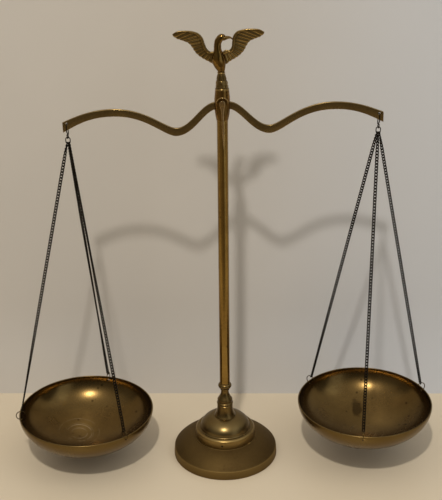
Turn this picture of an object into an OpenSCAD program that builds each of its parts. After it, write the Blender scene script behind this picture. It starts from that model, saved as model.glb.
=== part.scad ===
// Two-pan beam scale in brass: turned stand, rocking beam, two pans on chains.
// Millimetres. The origin is the centre of the underside, +Z is up, the beam lies along X,
// and the front is -Y. The beam is drawn at its resting tilt and the pans hang plumb.

/* [Stand] */
// Outside radius of the base plate where it meets the table
base_r = 59.6; // [50:0.1:70]
// Height of the base plate's rim
base_edge_h = 9.5; // [6:0.1:14]
// Height of the seat on the base plate that carries the riser
base_seat_z = 24; // [20:0.1:30]
// Wall of the cast base pieces
cast_wall = 3.5; // [2.5:0.1:4.5]
// Radius of the riser band
riser_r = 34.2; // [30:0.1:40]
// Height of the riser, from the seat to its flat top
riser_h = 25.2; // [22:0.1:30]
// Height of the baluster, from the riser to its neck
baluster_h = 33; // [28:0.1:40]
// Largest radius of the baluster's vase
vase_r = 8.6; // [8:0.1:11]
// Diameter of the column
column_d = 11.5; // [10:0.1:14]
// Bore of the column
column_bore = 8; // [6:0.1:8.5]
// Height of the beam's pivot above the table
pivot_z = 418.5; // [360:0.5:480]
// Diameter of the tie rod in the column
rod_d = 5; // [4:0.1:5.5]

/* [Yoke and finial] */
// Largest radius of the yoke
yoke_r = 8.2; // [7.6:0.1:10]
// Height of the yoke above the pivot
yoke_above = 15.4; // [14:0.1:20]
// Length of the yoke below the pivot
yoke_below = 17; // [15:0.1:24]
// Width of the arched window in the yoke's front
window_w = 11; // [9:0.1:12.5]
// Height of the finial's tail cone
tail_h = 17; // [14:0.1:24]
// Height of the bird above its tail cone
bird_h = 38.6; // [34:0.1:46]
// Reach of each wing from the axis
wing_reach = 44.6; // [38:0.1:50]

/* [Beam] */
// Distance between the two end holes
beam_span = 320; // [280:1:360]
// Thickness of the beam bar
beam_t = 2.6; // [2:0.1:3]
// Depth of the beam bar at the pivot
beam_depth = 7.8; // [7:0.1:9]
// Depth of the beam bar at its ends
beam_end_depth = 9.8; // [9:0.1:12]
// Drop of the end holes below the pivot
hole_drop = 15.3; // [12:0.1:20]
// Diameter of the end holes
hole_d = 2.6; // [2.6:0.1:3]
// Resting tilt of the beam, right end up
beam_tilt = 1.4; // [0:0.1:3]
// Diameter of the pivot pin
pin_d = 3; // [2.5:0.1:3.5]
// Length of the pointer from the pivot to its tip
pointer_len = 46.6; // [40:0.1:60]

/* [Pans and chains] */
// Radius of a pan at its rim
pan_r = 76.5; // [65:0.5:82]
// Depth of a pan
pan_depth = 43.5; // [36:0.5:46]
// Wall of a pan
pan_wall = 1; // [0.8:0.1:1.4]
// Drop of the rims below the beam's end holes
pan_hang = 341.9; // [300:0.1:345]
// Outside diameter of the rings in the rims
rim_ring_d = 11.2; // [9:0.1:13]
// Wire of the rings in the rims
rim_ring_wire = 0.8; // [0.7:0.05:1]
// Pitch of the chain
chain_pitch = 3.25; // [3:0.05:3.6]
// Wire of the chain
chain_wire = 0.8; // [0.6:0.05:0.85]
// Outside width of a chain link
chain_width = 3.6; // [3.4:0.05:4]
// Wire of the S-hooks
hook_wire = 1.1; // [1:0.05:1.2]
// Length of an S-hook from the wire in the hole to its lowest bend
hook_len = 15.8; // [14:0.1:20]
// Length of a jump ring, wire centre to wire centre
jump_len = 6.8; // [6:0.1:9]

/* [Hidden] */
$fn = 96;

aged_brass = [0.44, 0.35, 0.17];
bright_brass = [0.62, 0.5, 0.24];
dark_brass = [0.16, 0.12, 0.06];

// Clearances
rod_gap = 0.25;
pivot_gap = 0.05;
slot_gap = 0.35;
wire_gap = 0.1;

// Stand, from the table up
rim_foot = 4.6;
edge_inset = 0.7;
arc_r = 40;
pad_t = 1.5;
riser_top_z = base_seat_z + riser_h;
band_h = 9.5;
spigot_h = 6;
baluster_top_z = riser_top_z + baluster_h;
foot_r = 12.7;
dome_r = riser_r - 6.1;
dome_h = 12.2;
neck_r = 4.4;
collar_r = column_d / 2 + 1.95;
collar_h = 10;
socket_depth = 6.5;
column_foot_z = baluster_top_z + collar_h - socket_depth;
yoke_foot_z = pivot_z - yoke_below;
yoke_top_z = pivot_z + yoke_above;
spigot_len = 14;
rod_bottom_z = base_seat_z - cast_wall - 8;
rod_top_z = yoke_foot_z - 3;
washer_t = 1.5;
nut_h = 4;

// Yoke window and pointer
window_y = -column_d / 2 + 0.15;
window_top = 8;
pointer_t = 1.2;
pointer_y = -column_d / 2 - 0.45 - pointer_t;
slot_up = 4.2;
slot_down = 7.2;
stud_d = 4;
stud_len = 14;

// Beam centreline heights, from the pivot
beam_crown = -1.5;
beam_valley_x = 48;
beam_valley = -28.1;
beam_hump_x = 113;
beam_hump = -5.5;
beam_land = 4.5;

// Hanging parts, measured down from an end hole
arm = beam_span / 2;
hook_bend = 2.2;
hook_turn = 15;
hook_low_bend = 1.6;
hook_shank = beam_end_depth / 2 + 0.6;
hook_free_end = hook_shank + 4.4;
hook_low_end = 2.6;
jump_wire = 1;
jump_r = 2.3;
jump_top = hook_len - (hook_wire + jump_wire) / 2 - wire_gap;
jump_low = jump_top + jump_len;
jump_step = 34;
top_link_half = 5.2;
rim_hole_drop = 3.5;
rim_hole_d = 2.2;
rim_bead = 0.75;
ring_r = (rim_ring_d - rim_ring_wire) / 2;
link_half = (chain_pitch + chain_wire + wire_gap) / 2;
link_r = (chain_width - chain_wire) / 2;

// Plan angles of the three rim holes of each pan, ordered from left to right
left_angles = [190.5, 75.5, 310.5];
right_angles = [141.6, 261.6, 21.6];

// Place of an end hole: side is -1 on the left and 1 on the right
function end_hole(side) = [
    side * arm * cos(beam_tilt) + hole_drop * sin(beam_tilt),
    0,
    pivot_z + side * arm * sin(beam_tilt) - hole_drop * cos(beam_tilt)
];

// Cubic Bezier point
function bez(p, t) =
    p[0] * pow(1 - t, 3) + 3 * p[1] * t * pow(1 - t, 2) + 3 * p[2] * t * t * (1 - t) + p[3] * pow(t, 3);
function bez_slope(p, t) =
    (p[1] - p[0]) * pow(1 - t, 2) + 2 * (p[2] - p[1]) * t * (1 - t) + (p[3] - p[2]) * t * t;
function unit(v) = v / norm(v);
function left_of(v) = [-v[1], v[0]];

// Turned profile helper: points of an arc
function arc_points(c, r, a0, a1, n) =
    [for (i = [0:n]) let (a = a0 + (a1 - a0) * i / n) c + r * [cos(a), sin(a)]];

// Round bar along Y through a point in the XZ plane
module y_bar(d, y0, y1, z) {
    translate([0, y1, z]) rotate([90, 0, 0]) cylinder(d = d, h = y1 - y0);
}

// Hexagon nut with its bore, lower face at the origin
module hex_nut(across, h, bore) {
    difference() {
        cylinder(d = across / cos(30), h = h, $fn = 6);
        translate([0, 0, -1]) cylinder(d = bore, h = h + 2);
    }
}

// Outside of the base plate's crown: an arc from the rim to the seat
function crown(inset) =
    let (
        p = [base_r - edge_inset, base_edge_h],
        q = [riser_r + 0.2, base_seat_z],
        m = (p + q) / 2,
        half = norm(q - p) / 2,
        c = m - left_of(unit(p - q)) * sqrt(arc_r * arc_r - half * half),
        a0 = atan2(p[1] - c[1], p[0] - c[0]),
        a1 = atan2(q[1] - c[1], q[0] - c[0])
    )
    arc_points(c, arc_r - inset, a0, a1, 10);

module base_plate() {
    ceiling = base_seat_z - cast_wall;
    color(aged_brass) rotate_extrude() polygon(concat(
        [[rod_d / 2 + rod_gap, base_seat_z], [rod_d / 2 + rod_gap, ceiling]],
        [[riser_r - cast_wall, ceiling]],
        [for (i = [10:-1:1]) crown(cast_wall)[i]],
        [[base_r - rim_foot, base_edge_h - 3], [base_r - rim_foot, 0], [base_r, 0]],
        crown(0),
        [[riser_r - cast_wall, base_seat_z], [riser_r - cast_wall, base_seat_z + spigot_h]],
        [[riser_r - 2 * cast_wall, base_seat_z + spigot_h], [riser_r - 2 * cast_wall, base_seat_z]]
    ));
}

module base_pad() {
    color([0.1, 0.16, 0.1]) cylinder(r = base_r - rim_foot, h = pad_t);
}

// Riser: band, groove and low dome, hollow inside
module riser() {
    z0 = base_seat_z;
    wall_r = riser_r - cast_wall;
    top_r = foot_r + 0.3;
    dome = [for (i = [0:8]) let (a = 90 * i / 8)
        [top_r + (dome_r - top_r) * cos(a), riser_top_z - dome_h + dome_h * sin(a)]];
    color(bright_brass) difference() {
        rotate_extrude() polygon(concat(
            [[wall_r, z0], [riser_r, z0], [riser_r - 0.3, z0 + band_h - 0.6], [riser_r - 0.9, z0 + band_h]],
            [[riser_r - 2.7, z0 + band_h + 1.2], [riser_r - 5, z0 + band_h + 1]],
            [[riser_r - 5.6, z0 + band_h + 1.8]],
            dome,
            [[rod_d / 2 + rod_gap, riser_top_z], [rod_d / 2 + rod_gap, riser_top_z - cast_wall]],
            [[foot_r, riser_top_z - cast_wall], [wall_r - 6, z0 + band_h + 2], [wall_r, z0 + spigot_h + 1]]
        ));
        grub_place() cylinder(d = 2.4, h = 20, center = true);
    }
}

// The grub screw lies radially in the band, a little left of the front
module grub_place() {
    rotate([0, 0, -96.5]) translate([riser_r - 3.2, 0, base_seat_z + 3.6]) rotate([0, 90, 0]) children();
}

module grub_screw() {
    color(dark_brass) grub_place() difference() {
        cylinder(d = 2.4, h = 2.2);
        translate([0, 0, 1.2]) cylinder(d = 1.3, h = 2, $fn = 6);
    }
}

// Baluster: foot, flared bell, bead and small vase up to the neck
module baluster() {
    z = riser_top_z;
    h = baluster_h;
    bell = [for (i = [0:8]) let (t = i / 8) [9 + (foot_r - 9.6) * pow(1 - t, 3), z + 0.8 + t * h * 0.4]];
    vase = [for (i = [0:10]) let (t = i / 10)
        [neck_r + (vase_r - neck_r) * (1 + cos(180 * pow(t, 0.65))) / 2, z + h * (0.64 + 0.33 * t)]];
    color(aged_brass) difference() {
        rotate_extrude() polygon(concat(
            [[0, z], [foot_r, z], [foot_r, z + 0.4]],
            bell,
            [[8.4, z + h * 0.44]],
            arc_points([8, z + h * 0.5], 1.3, -60, 60, 6),
            [[8, z + h * 0.57], [8, z + h * 0.59], [vase_r - 0.4, z + h * 0.61]],
            vase,
            [[neck_r, z + h], [0, z + h]]
        ));
        translate([0, 0, z - 1]) cylinder(d = rod_d + 2 * rod_gap, h = h + 2);
    }
}

// Collar: a neck flare and a bead with a socket for the column
module column_collar() {
    z = baluster_top_z;
    bead = arc_points([collar_r - 3.1, z + 6], 3.1, -62, 58, 10);
    color(aged_brass) difference() {
        rotate_extrude() polygon(concat(
            [[0, z], [neck_r + 0.5, z], [neck_r + 0.9, z + 1.1], [neck_r + 0.9, z + 2.2]],
            bead,
            [[column_d / 2 + 0.35, z + collar_h], [0, z + collar_h]]
        ));
        translate([0, 0, column_foot_z]) cylinder(d = column_d, h = socket_depth + 1);
        translate([0, 0, z - 1]) cylinder(d = rod_d + 2 * rod_gap, h = collar_h);
    }
}

module column() {
    color(bright_brass) translate([0, 0, column_foot_z]) difference() {
        cylinder(d = column_d, h = yoke_foot_z - column_foot_z);
        translate([0, 0, -1]) cylinder(d = column_bore, h = yoke_foot_z - column_foot_z + 2);
    }
}

module tie_rod() {
    color(aged_brass) translate([0, 0, rod_bottom_z]) cylinder(d = rod_d, h = rod_top_z - rod_bottom_z);
}

module tie_washer() {
    color(aged_brass) translate([0, 0, base_seat_z - cast_wall - washer_t]) difference() {
        cylinder(r = 9, h = washer_t);
        translate([0, 0, -1]) cylinder(d = rod_d, h = washer_t + 2);
    }
}

module tie_nut() {
    color(aged_brass) translate([0, 0, base_seat_z - cast_wall - washer_t - nut_h])
        hex_nut(rod_d * 1.6, nut_h, rod_d);
}

// Yoke: tapered head, slotted through along X for the beam, with an arched window in front
module yoke() {
    z = pivot_z;
    arch_z = z + window_top - window_w / 2;
    socket_z = yoke_foot_z - spigot_len - 1;
    head = [
        [column_d / 2 + 0.35, yoke_foot_z], [yoke_r - 0.9, z - 11], [yoke_r - 0.15, z - 5],
        [yoke_r, z + 1], [yoke_r - 0.15, z + 5], [yoke_r - 0.6, z + 10], [yoke_r - 1.15, yoke_top_z]
    ];
    color(aged_brass) difference() {
        union() {
            rotate_extrude() polygon(concat([[0, yoke_foot_z]], head, [[0, yoke_top_z]]));
            translate([0, 0, yoke_foot_z - spigot_len]) cylinder(d = column_bore, h = spigot_len + 1);
        }
        // slot for the beam
        translate([-2 * yoke_r, -beam_t / 2 - slot_gap, z - slot_down])
            cube([4 * yoke_r, beam_t + 2 * slot_gap, slot_up + slot_down]);
        // arched window, open at the foot
        translate([0, window_y, 0]) rotate([90, 0, 0]) linear_extrude(2 * yoke_r) union() {
            translate([0, arch_z]) circle(d = window_w);
            translate([-window_w / 2, yoke_foot_z - 1]) square([window_w, arch_z - yoke_foot_z + 1]);
        }
        // bore for the pivot pin
        y_bar(pin_d + 2 * pivot_gap, -2 * yoke_r, 2 * yoke_r, z);
        // thread for the tie rod and for the finial's stud
        translate([0, 0, socket_z]) cylinder(d = rod_d, h = rod_top_z - socket_z);
        translate([0, 0, yoke_top_z - stud_len / 2]) cylinder(d = stud_d, h = stud_len);
    }
}

module finial_stud() {
    color(aged_brass) translate([0, 0, yoke_top_z - stud_len / 2]) cylinder(d = stud_d, h = stud_len);
}

// Outline of one wing, drawn to the right: a rolled leading edge and a scalloped trailing edge
wing_lead = [[2, 20], [10, 15], [9, 43], [24, 43.6]];
wing_tail = [[42, 36], [30, 32], [30, 18], [4, 5]];
feathers = 13;
wing_lift = 1.4;
scallop = 1.1;
function feather_edge(t) =
    bez(wing_tail, t) + left_of(unit(bez_slope(wing_tail, t))) * scallop * abs(sin(180 * feathers * t));

function wing_outline(k) = concat(
    [for (i = [0:16]) bez(wing_lead, i / 16) * k],
    [for (i = [1:8]) bez([[24, 43.6], [33, 44], [40, 42.5], [44.6, 39]], i / 8) * k],
    [for (i = [0:6 * feathers]) feather_edge(i / (6 * feathers)) * k]
);

module wing() {
    rotate([90, 0, 0]) linear_extrude(2.4, center = true) polygon(wing_outline(wing_reach / 44.6));
}

// Bird's neck and head: a tube swept along an S, with round ends
neck_path = [[-0.6, 22], [-6, 28], [0.5, 31], [-2.6, 35.2]];
module bird() {
    k = bird_h / 38.6;
    rotate_extrude() polygon(concat(
        [[0, 0]],
        [for (i = [0:14]) let (t = i / 14)
            [3.2 * (1 - t) + 6.2 * pow(sin(180 * pow(t, 0.72)), 0.8), 24 * k * t]]
    ));
    for (i = [0:9]) {
        p = bez(neck_path, i / 9) * k;
        translate([p[0], 0, p[1]]) sphere(r = 4.6 - 0.16 * i, $fn = 24);
    }
    translate([0.6, 0, 35.2 * k]) sphere(r = 3.4, $fn = 24);
    translate([2.4, 0, 35.4 * k]) rotate([0, 98, 0]) cylinder(r1 = 2.4, r2 = 0.5, h = 9.5 * k);
}

// Finial: tail cone with carved ribs, bird with raised wings, one casting
module eagle_finial() {
    z = yoke_top_z;
    color(bright_brass) difference() {
        union() {
            translate([0, 0, z]) cylinder(r1 = yoke_r - 1.15, r2 = 3.3, h = tail_h);
            for (a = [0:45:315]) rotate([0, 0, a]) translate([0, 0, z])
                rotate([0, -atan((yoke_r - 4.45) / tail_h), 0]) translate([yoke_r - 1.5, 0, 0])
                    cylinder(r1 = 0.9, r2 = 0.5, h = tail_h * 0.96, $fn = 16);
            translate([0, 0, z + tail_h - 1]) bird();
            translate([0, 0, z + tail_h - 1 + wing_lift]) wing();
            translate([0, 0, z + tail_h - 1]) mirror([1, 0, 0]) wing();
        }
        translate([0, 0, z - 1]) cylinder(d = stud_d, h = stud_len / 2 + 1);
        translate([0, 0, z - 5]) cylinder(r = 2 * yoke_r, h = 5);
    }
}

// Centreline of one arm of the beam as Bezier stretches, with the bar's depth at their ends
function arm_runs() = let (
    valley = [beam_valley_x, beam_valley],
    hump = [beam_hump_x, beam_hump],
    end = [arm + beam_land, -hole_drop - 3.9]
) [
    [[[6, beam_crown], [20, beam_crown], valley - [17, 0], valley], beam_depth, 8.6, false],
    [[valley, valley + [12, 0], hump - [35, 0], hump], 8.6, 7.9, false],
    [[hump, hump + [22, 0], end + [-15, 7.2], end], 7.9, beam_end_depth, true]
];

// Edge of one arm, carried a little past its end: up is 1 for the top edge and -1 for the bottom
function arm_edge(up) = [
    for (run = arm_runs()) for (i = [0:13]) if (i < 13 || run[3]) let (
        t = i / 12,
        n = left_of(unit(bez_slope(run[0], min(t, 1)))),
        depth = run[1] + (run[2] - run[1]) * t - 3.6 * t * max(0, 1 - t)
    ) (i < 13 ? bez(run[0], t) : bez(run[0], 1) + 6 * unit(bez_slope(run[0], 1))) + n * up * depth / 2
];

function backwards(list) = [for (i = [len(list) - 1:-1:0]) list[i]];
function mirrored(list) = [for (p = list) [-p[0], p[1]]];

module at_tilt() {
    translate([0, 0, pivot_z]) rotate([0, -beam_tilt, 0]) children();
}

module beam() {
    color(aged_brass) at_tilt() difference() {
        rotate([90, 0, 0]) linear_extrude(beam_t, center = true) intersection() {
            polygon(concat(
                arm_edge(1), backwards(arm_edge(-1)),
                mirrored(arm_edge(-1)), mirrored(backwards(arm_edge(1)))
            ));
            square([2 * (arm + beam_land), 200], center = true);
        }
        y_bar(pin_d, -beam_t, beam_t, 0);
        for (side = [-1, 1]) translate([side * arm, 0, 0]) y_bar(hole_d, -beam_t, beam_t, -hole_drop);
    }
}

module pivot_pin() {
    color(bright_brass) at_tilt() y_bar(pin_d, pointer_y - 0.4, yoke_r + 3.4, 0);
}

module pivot_nut() {
    color(bright_brass) at_tilt() translate([0, yoke_r + 2.6, 0]) rotate([90, 0, 0])
        hex_nut(5.5, 2.4, pin_d);
}

// Pointer: tear-drop head on the pin and a long thin blade
module pointer() {
    color(bright_brass) at_tilt() translate([0, pointer_y + pointer_t, 0]) rotate([90, 0, 0]) difference() {
        linear_extrude(pointer_t) polygon(concat(
            arc_points([0, 2], 3.1, -10, 190, 16),
            [[-1.7, -5], [-1.35, -9], [-1.2, -25], [0, -pointer_len], [1.2, -25], [1.35, -9], [1.7, -5]]
        ));
        translate([0, 0, -1]) cylinder(d = pin_d, h = pointer_t + 2);
    }
}

// Arc of round wire in the YZ plane, from angle a0 to a1 counted from +Y towards +Z
module arc_wire(r, d, a0, a1) {
    rotate([90, 0, 90]) rotate([0, 0, a0]) rotate_extrude(angle = a1 - a0)
        translate([r, 0]) circle(d = d, $fn = 24);
}

// Straight round wire along Z
module straight_wire(d, z0, z1) {
    translate([0, 0, z0]) cylinder(d = d, h = z1 - z0, $fn = 24);
}

// Straight round wire between two points of the YZ plane, with a ball a little thicker at each end
module slant_wire(p, q, d) {
    v = q - p;
    translate([0, p[0], p[1]]) rotate([atan2(v[0], -v[1]), 0, 0]) straight_wire(d, -norm(v), 0);
    for (e = [p, q]) translate([0, e[0], e[1]]) sphere(d = d * 1.03, $fn = 24);
}

// S-hook drawn down from the wire's place in the end hole. The front leg clears the bar before it
// slants to the low bend, and the whole hook is turned a little so that this leg faces outwards.
module s_hook(side) {
    low_z = -hook_len + hook_low_bend;
    color(dark_brass) rotate([0, 0, side * hook_turn]) {
        translate([0, 0, -hook_bend]) {
            arc_wire(hook_bend, hook_wire, 0, 180);
            translate([0, hook_bend, 0]) straight_wire(hook_wire, -hook_free_end, 0);
            translate([0, -hook_bend, 0]) straight_wire(hook_wire, -hook_shank, 0);
        }
        slant_wire([-hook_bend, -hook_bend - hook_shank], [hook_low_bend, low_z], hook_wire);
        translate([0, 0, low_z]) {
            arc_wire(hook_low_bend, hook_wire, -180, 0);
            translate([0, -hook_low_bend, 0]) straight_wire(hook_wire, 0, hook_low_end);
        }
    }
}

// Oval of round wire in the YZ plane: half rings of radius r joined by straights of length 2 * half
module oval(r, half, d) {
    translate([0, 0, half]) arc_wire(r, d, 0, 180);
    translate([0, 0, -half]) arc_wire(r, d, 180, 360);
    for (s = [-1, 1]) translate([0, s * r, 0]) straight_wire(d, -half, half);
}

// Oval jump ring in the XZ plane, hung in the hook's low bend
module jump_ring() {
    half = jump_len / 2 - jump_r;
    mid = -(jump_top + jump_low) / 2;
    color(dark_brass) rotate([0, 0, 90]) translate([0, 0, mid]) oval(jump_r, half, jump_wire);
}

// Stations of a chain, from the end hole: where its top link hangs and the rim hole below
function chain_top(k) = let (a = (k - 1) * jump_step)
    [jump_r * sin(a), 0, -jump_low + jump_r - jump_r * cos(a)];
function rim_hole(angle) = [
    (pan_radius(rim_hole_drop) - pan_wall / 2) * cos(angle),
    (pan_radius(rim_hole_drop) - pan_wall / 2) * sin(angle),
    -pan_hang - rim_hole_drop
];
function hang_line(k, angle) = unit(chain_top(k) - rim_hole(angle));
function azimuth(v) = atan2(v[1], v[0]);
function plumb(v) = acos(v[2] / norm(v));

// One oval link, long along Z and wide along Y
module link(half = link_half) {
    oval(link_r, half - link_r, chain_wire);
}

// Chain k of a pan, from the jump ring to the ring in the rim. Its long top link stands edge-on beside
// the other two chains' until the three have spread, then the short links turn evenly on their way.
module chain(k, angle) {
    up = hang_line(k, angle);
    down_azimuth = azimuth(-up);
    top = chain_top(k);
    low = rim_hole(angle) + up * 2 * ring_r;
    reach = norm(top - low);
    hung_at = (chain_wire + jump_wire) / 2 / cos((k - 1) * jump_step) + wire_gap;
    first = 2 * top_link_half - hung_at - chain_wire - wire_gap + link_half;
    last = reach - link_half + (chain_wire + rim_ring_wire) / 2 + wire_gap;
    gaps = round((last - first) / chain_pitch);
    turn = -(down_azimuth + 90 + 90 * gaps) % 180;
    twist = turn < -90 ? turn + 180 : turn > 90 ? turn - 180 : turn;
    color(dark_brass) translate(top) rotate([0, plumb(-up), down_azimuth]) {
        translate([0, 0, top_link_half - hung_at]) rotate([0, 0, down_azimuth]) link(top_link_half);
        for (i = [0:gaps])
            translate([0, 0, first + (last - first) * i / gaps])
                rotate([0, 0, down_azimuth + 90 + 90 * i + twist * i / gaps]) link();
    }
}

// Ring through the rim hole, in the plane of its chain
module rim_ring(k, angle) {
    up = hang_line(k, angle);
    color(dark_brass) translate(rim_hole(angle) + up * ring_r) rotate([0, plumb(up), azimuth(up)])
        rotate([90, 0, 0]) rotate_extrude() translate([ring_r, 0]) circle(d = rim_ring_wire, $fn = 24);
}

// Outside radius of a pan at a depth below its rim
pan_power = 1.9;
function pan_radius(depth, inset = 0) =
    (pan_r - inset) * pow(max(0, 1 - pow(depth / (pan_depth - inset), pan_power)), 1 / pan_power);

// Pan: a thin bowl with a rolled rim, pierced for its three rings
module pan(angles) {
    n = 22;
    function depth_at(i, inset) = (pan_depth - inset) * (1 - pow(1 - i / n, 1.7));
    color(aged_brass) translate([0, 0, -pan_hang]) difference() {
        rotate_extrude() polygon(concat(
            [for (i = [n:-1:0]) [pan_radius(depth_at(i, pan_wall), pan_wall), -depth_at(i, pan_wall)]],
            arc_points([pan_r - rim_bead, 0], rim_bead, 150, 0, 6),
            [for (i = [1:n]) [pan_radius(depth_at(i, 0)), -depth_at(i, 0)]]
        ));
        for (a = angles) rotate([0, 0, a]) translate([pan_r - 6, 0, -rim_hole_drop])
            rotate([0, 90, 0]) cylinder(d = rim_hole_d, h = 12);
    }
}

// Everything that hangs is drawn about its own end hole
module hung(side) {
    translate(end_hole(side)) children();
}

base_plate();
base_pad();
riser();
grub_screw();
baluster();
column_collar();
column();
tie_rod();
tie_washer();
tie_nut();
yoke();
finial_stud();
eagle_finial();
beam();
pivot_pin();
pivot_nut();
pointer();
hung(-1) s_hook(-1);  // left_hook
hung(-1) jump_ring();  // left_jump_ring
hung(-1) chain(0, left_angles[0]);  // left_chain_1
hung(-1) chain(1, left_angles[1]);  // left_chain_2
hung(-1) chain(2, left_angles[2]);  // left_chain_3
hung(-1) rim_ring(0, left_angles[0]);  // left_rim_ring_1
hung(-1) rim_ring(1, left_angles[1]);  // left_rim_ring_2
hung(-1) rim_ring(2, left_angles[2]);  // left_rim_ring_3
hung(-1) pan(left_angles);  // left_pan
hung(1) s_hook(1);  // right_hook
hung(1) jump_ring();  // right_jump_ring
hung(1) chain(0, right_angles[0]);  // right_chain_1
hung(1) chain(1, right_angles[1]);  // right_chain_2
hung(1) chain(2, right_angles[2]);  // right_chain_3
hung(1) rim_ring(0, right_angles[0]);  // right_rim_ring_1
hung(1) rim_ring(1, right_angles[1]);  // right_rim_ring_2
hung(1) rim_ring(2, right_angles[2]);  // right_rim_ring_3
hung(1) pan(right_angles);  // right_pan
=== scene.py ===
import math

import bmesh
import bpy
import numpy as np
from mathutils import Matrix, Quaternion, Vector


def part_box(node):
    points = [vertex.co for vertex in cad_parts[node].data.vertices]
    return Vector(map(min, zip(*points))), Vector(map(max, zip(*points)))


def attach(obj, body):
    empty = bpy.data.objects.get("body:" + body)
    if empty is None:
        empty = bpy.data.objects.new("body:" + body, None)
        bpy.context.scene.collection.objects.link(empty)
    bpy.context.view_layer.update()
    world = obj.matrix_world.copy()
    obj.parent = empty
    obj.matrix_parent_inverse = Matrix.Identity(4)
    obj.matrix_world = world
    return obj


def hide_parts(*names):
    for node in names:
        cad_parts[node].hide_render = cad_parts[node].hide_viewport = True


bl_info = {
    "name": "Brass beam scale",
    "version": (1, 0, 0),
    "blender": (4, 5, 0),
    "location": "View3D > Sidebar > Scale",
    "description": "Builds the finished surfaces of a two-pan brass scale around its frame",
    "category": "Add Mesh",
}

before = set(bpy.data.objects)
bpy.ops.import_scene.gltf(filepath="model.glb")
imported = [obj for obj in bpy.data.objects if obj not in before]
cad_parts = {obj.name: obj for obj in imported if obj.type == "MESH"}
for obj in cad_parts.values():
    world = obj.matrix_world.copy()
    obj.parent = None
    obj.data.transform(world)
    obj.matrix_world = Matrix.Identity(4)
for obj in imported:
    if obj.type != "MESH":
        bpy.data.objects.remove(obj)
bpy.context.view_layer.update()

MM = 0.001
TAU = 2 * math.pi
SIDES = {"left": -1, "right": 1}


def frame_span(node):
    """Lowest and highest corner of a frame node in millimetres."""
    low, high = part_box(node)
    return np.array(low) / MM, np.array(high) / MM


plate_high = frame_span("base_plate")[1]
riser_low, riser_high = frame_span("riser")
baluster_low, baluster_high = frame_span("baluster")
column_low, column_high = frame_span("column")
finial_low = frame_span("eagle_finial")[0]
pan_spans = {side: frame_span(side + "_pan") for side in SIDES}
pan_centre_x = {side: (span[0][0] + span[1][0]) / 2 for side, span in pan_spans.items()}

# Stand
CAST_WALL = 3.5
ROD_HOLE = 2.75
RIM_TOP = 9.5
RIM_INSET = 0.7
CROWN_ARC = 40.0
BAND_TOP = 9.5
FOOT_RADIUS = baluster_high[0]
NECK_RADIUS = 4.4
SOCKET = 2.9
SCREW_ANGLE, SCREW_UP, SCREW_RADIUS = -96.5, 3.6, 1.2

# Yoke, beam and finial
PIVOT_Z = column_high[2] + 17.0
YOKE_TOP = finial_low[2]
WINDOW_UP, WINDOW_RADIUS = 2.5, 5.5
WING_LIFT = 1.4
FINIAL_LEAN = 0.045
TAIL_HEIGHT, TAIL_FOOT, TAIL_NECK = 16.8, 7.05, 3.35
BEAM_THICK = 2.6
HOLE_RADIUS, HOLE_DROP = 1.3, 15.3
ARM_END = 164.5

# Hanging parts
HOOK_WIRE, HOOK_TURN = 1.1, 15.0
JUMP_WIRE, JUMP_RADIUS, JUMP_TOP, JUMP_LOW, JUMP_STEP = 1.0, 2.3, 14.65, 21.45, 34.0
WIRE_GAP = 0.1
RIM_RING = 5.2
RIM_HOLE_DROP, RIM_HOLE_RADIUS = 3.5, 1.1
RIM_ANGLES = {"left": (190.5, 75.5, 310.5), "right": (141.6, 261.6, 21.6)}
PAN_RADIUS, PAN_DEPTH, PAN_POWER, RIM_BEAD = 76.5, 43.5, 1.9, 0.75
PAN_HANG = 341.9
rim_z = {side: span[1][2] - RIM_BEAD for side, span in pan_spans.items()}
end_hole = {side: np.array([pan_centre_x[side], 0.0, rim_z[side] + PAN_HANG]) for side in SIDES}
rise = end_hole["right"] - end_hole["left"]
TILT = math.atan2(rise[2], rise[0])


# ---------------------------------------------------------------- settings

class ScaleSizes(bpy.types.PropertyGroup):
    """Sizes of the details that are finished here, in millimetres."""

    edge_round: bpy.props.FloatProperty(
        name="Edge rounding", description="Radius of the worn edges of the turned parts",
        default=0.45, min=0.1, max=1.5)
    bar_round: bpy.props.FloatProperty(
        name="Bar rounding", description="Radius of the long edges of the beam",
        default=0.55, min=0.1, max=1.2)
    link_wire: bpy.props.FloatProperty(
        name="Link wire", description="Wire of the curb links", default=1.2, min=0.5, max=1.3)
    link_width: bpy.props.FloatProperty(
        name="Link width", description="Outside width of a curb link", default=4.0, min=2.8, max=4.0)
    link_pitch: bpy.props.FloatProperty(
        name="Link pitch", description="Distance from one curb link to the next",
        default=3.25, min=2.8, max=4.0)
    ring_wire: bpy.props.FloatProperty(
        name="Ring wire", description="Wire of the rings in the pan rims", default=1.0, min=0.5, max=1.2)
    feathers: bpy.props.IntProperty(
        name="Feathers", description="Feathers on each wing", default=14, min=6, max=24)
    pan_wall: bpy.props.FloatProperty(
        name="Pan wall", description="Thickness of a pan", default=1.0, min=0.6, max=1.6)


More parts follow.
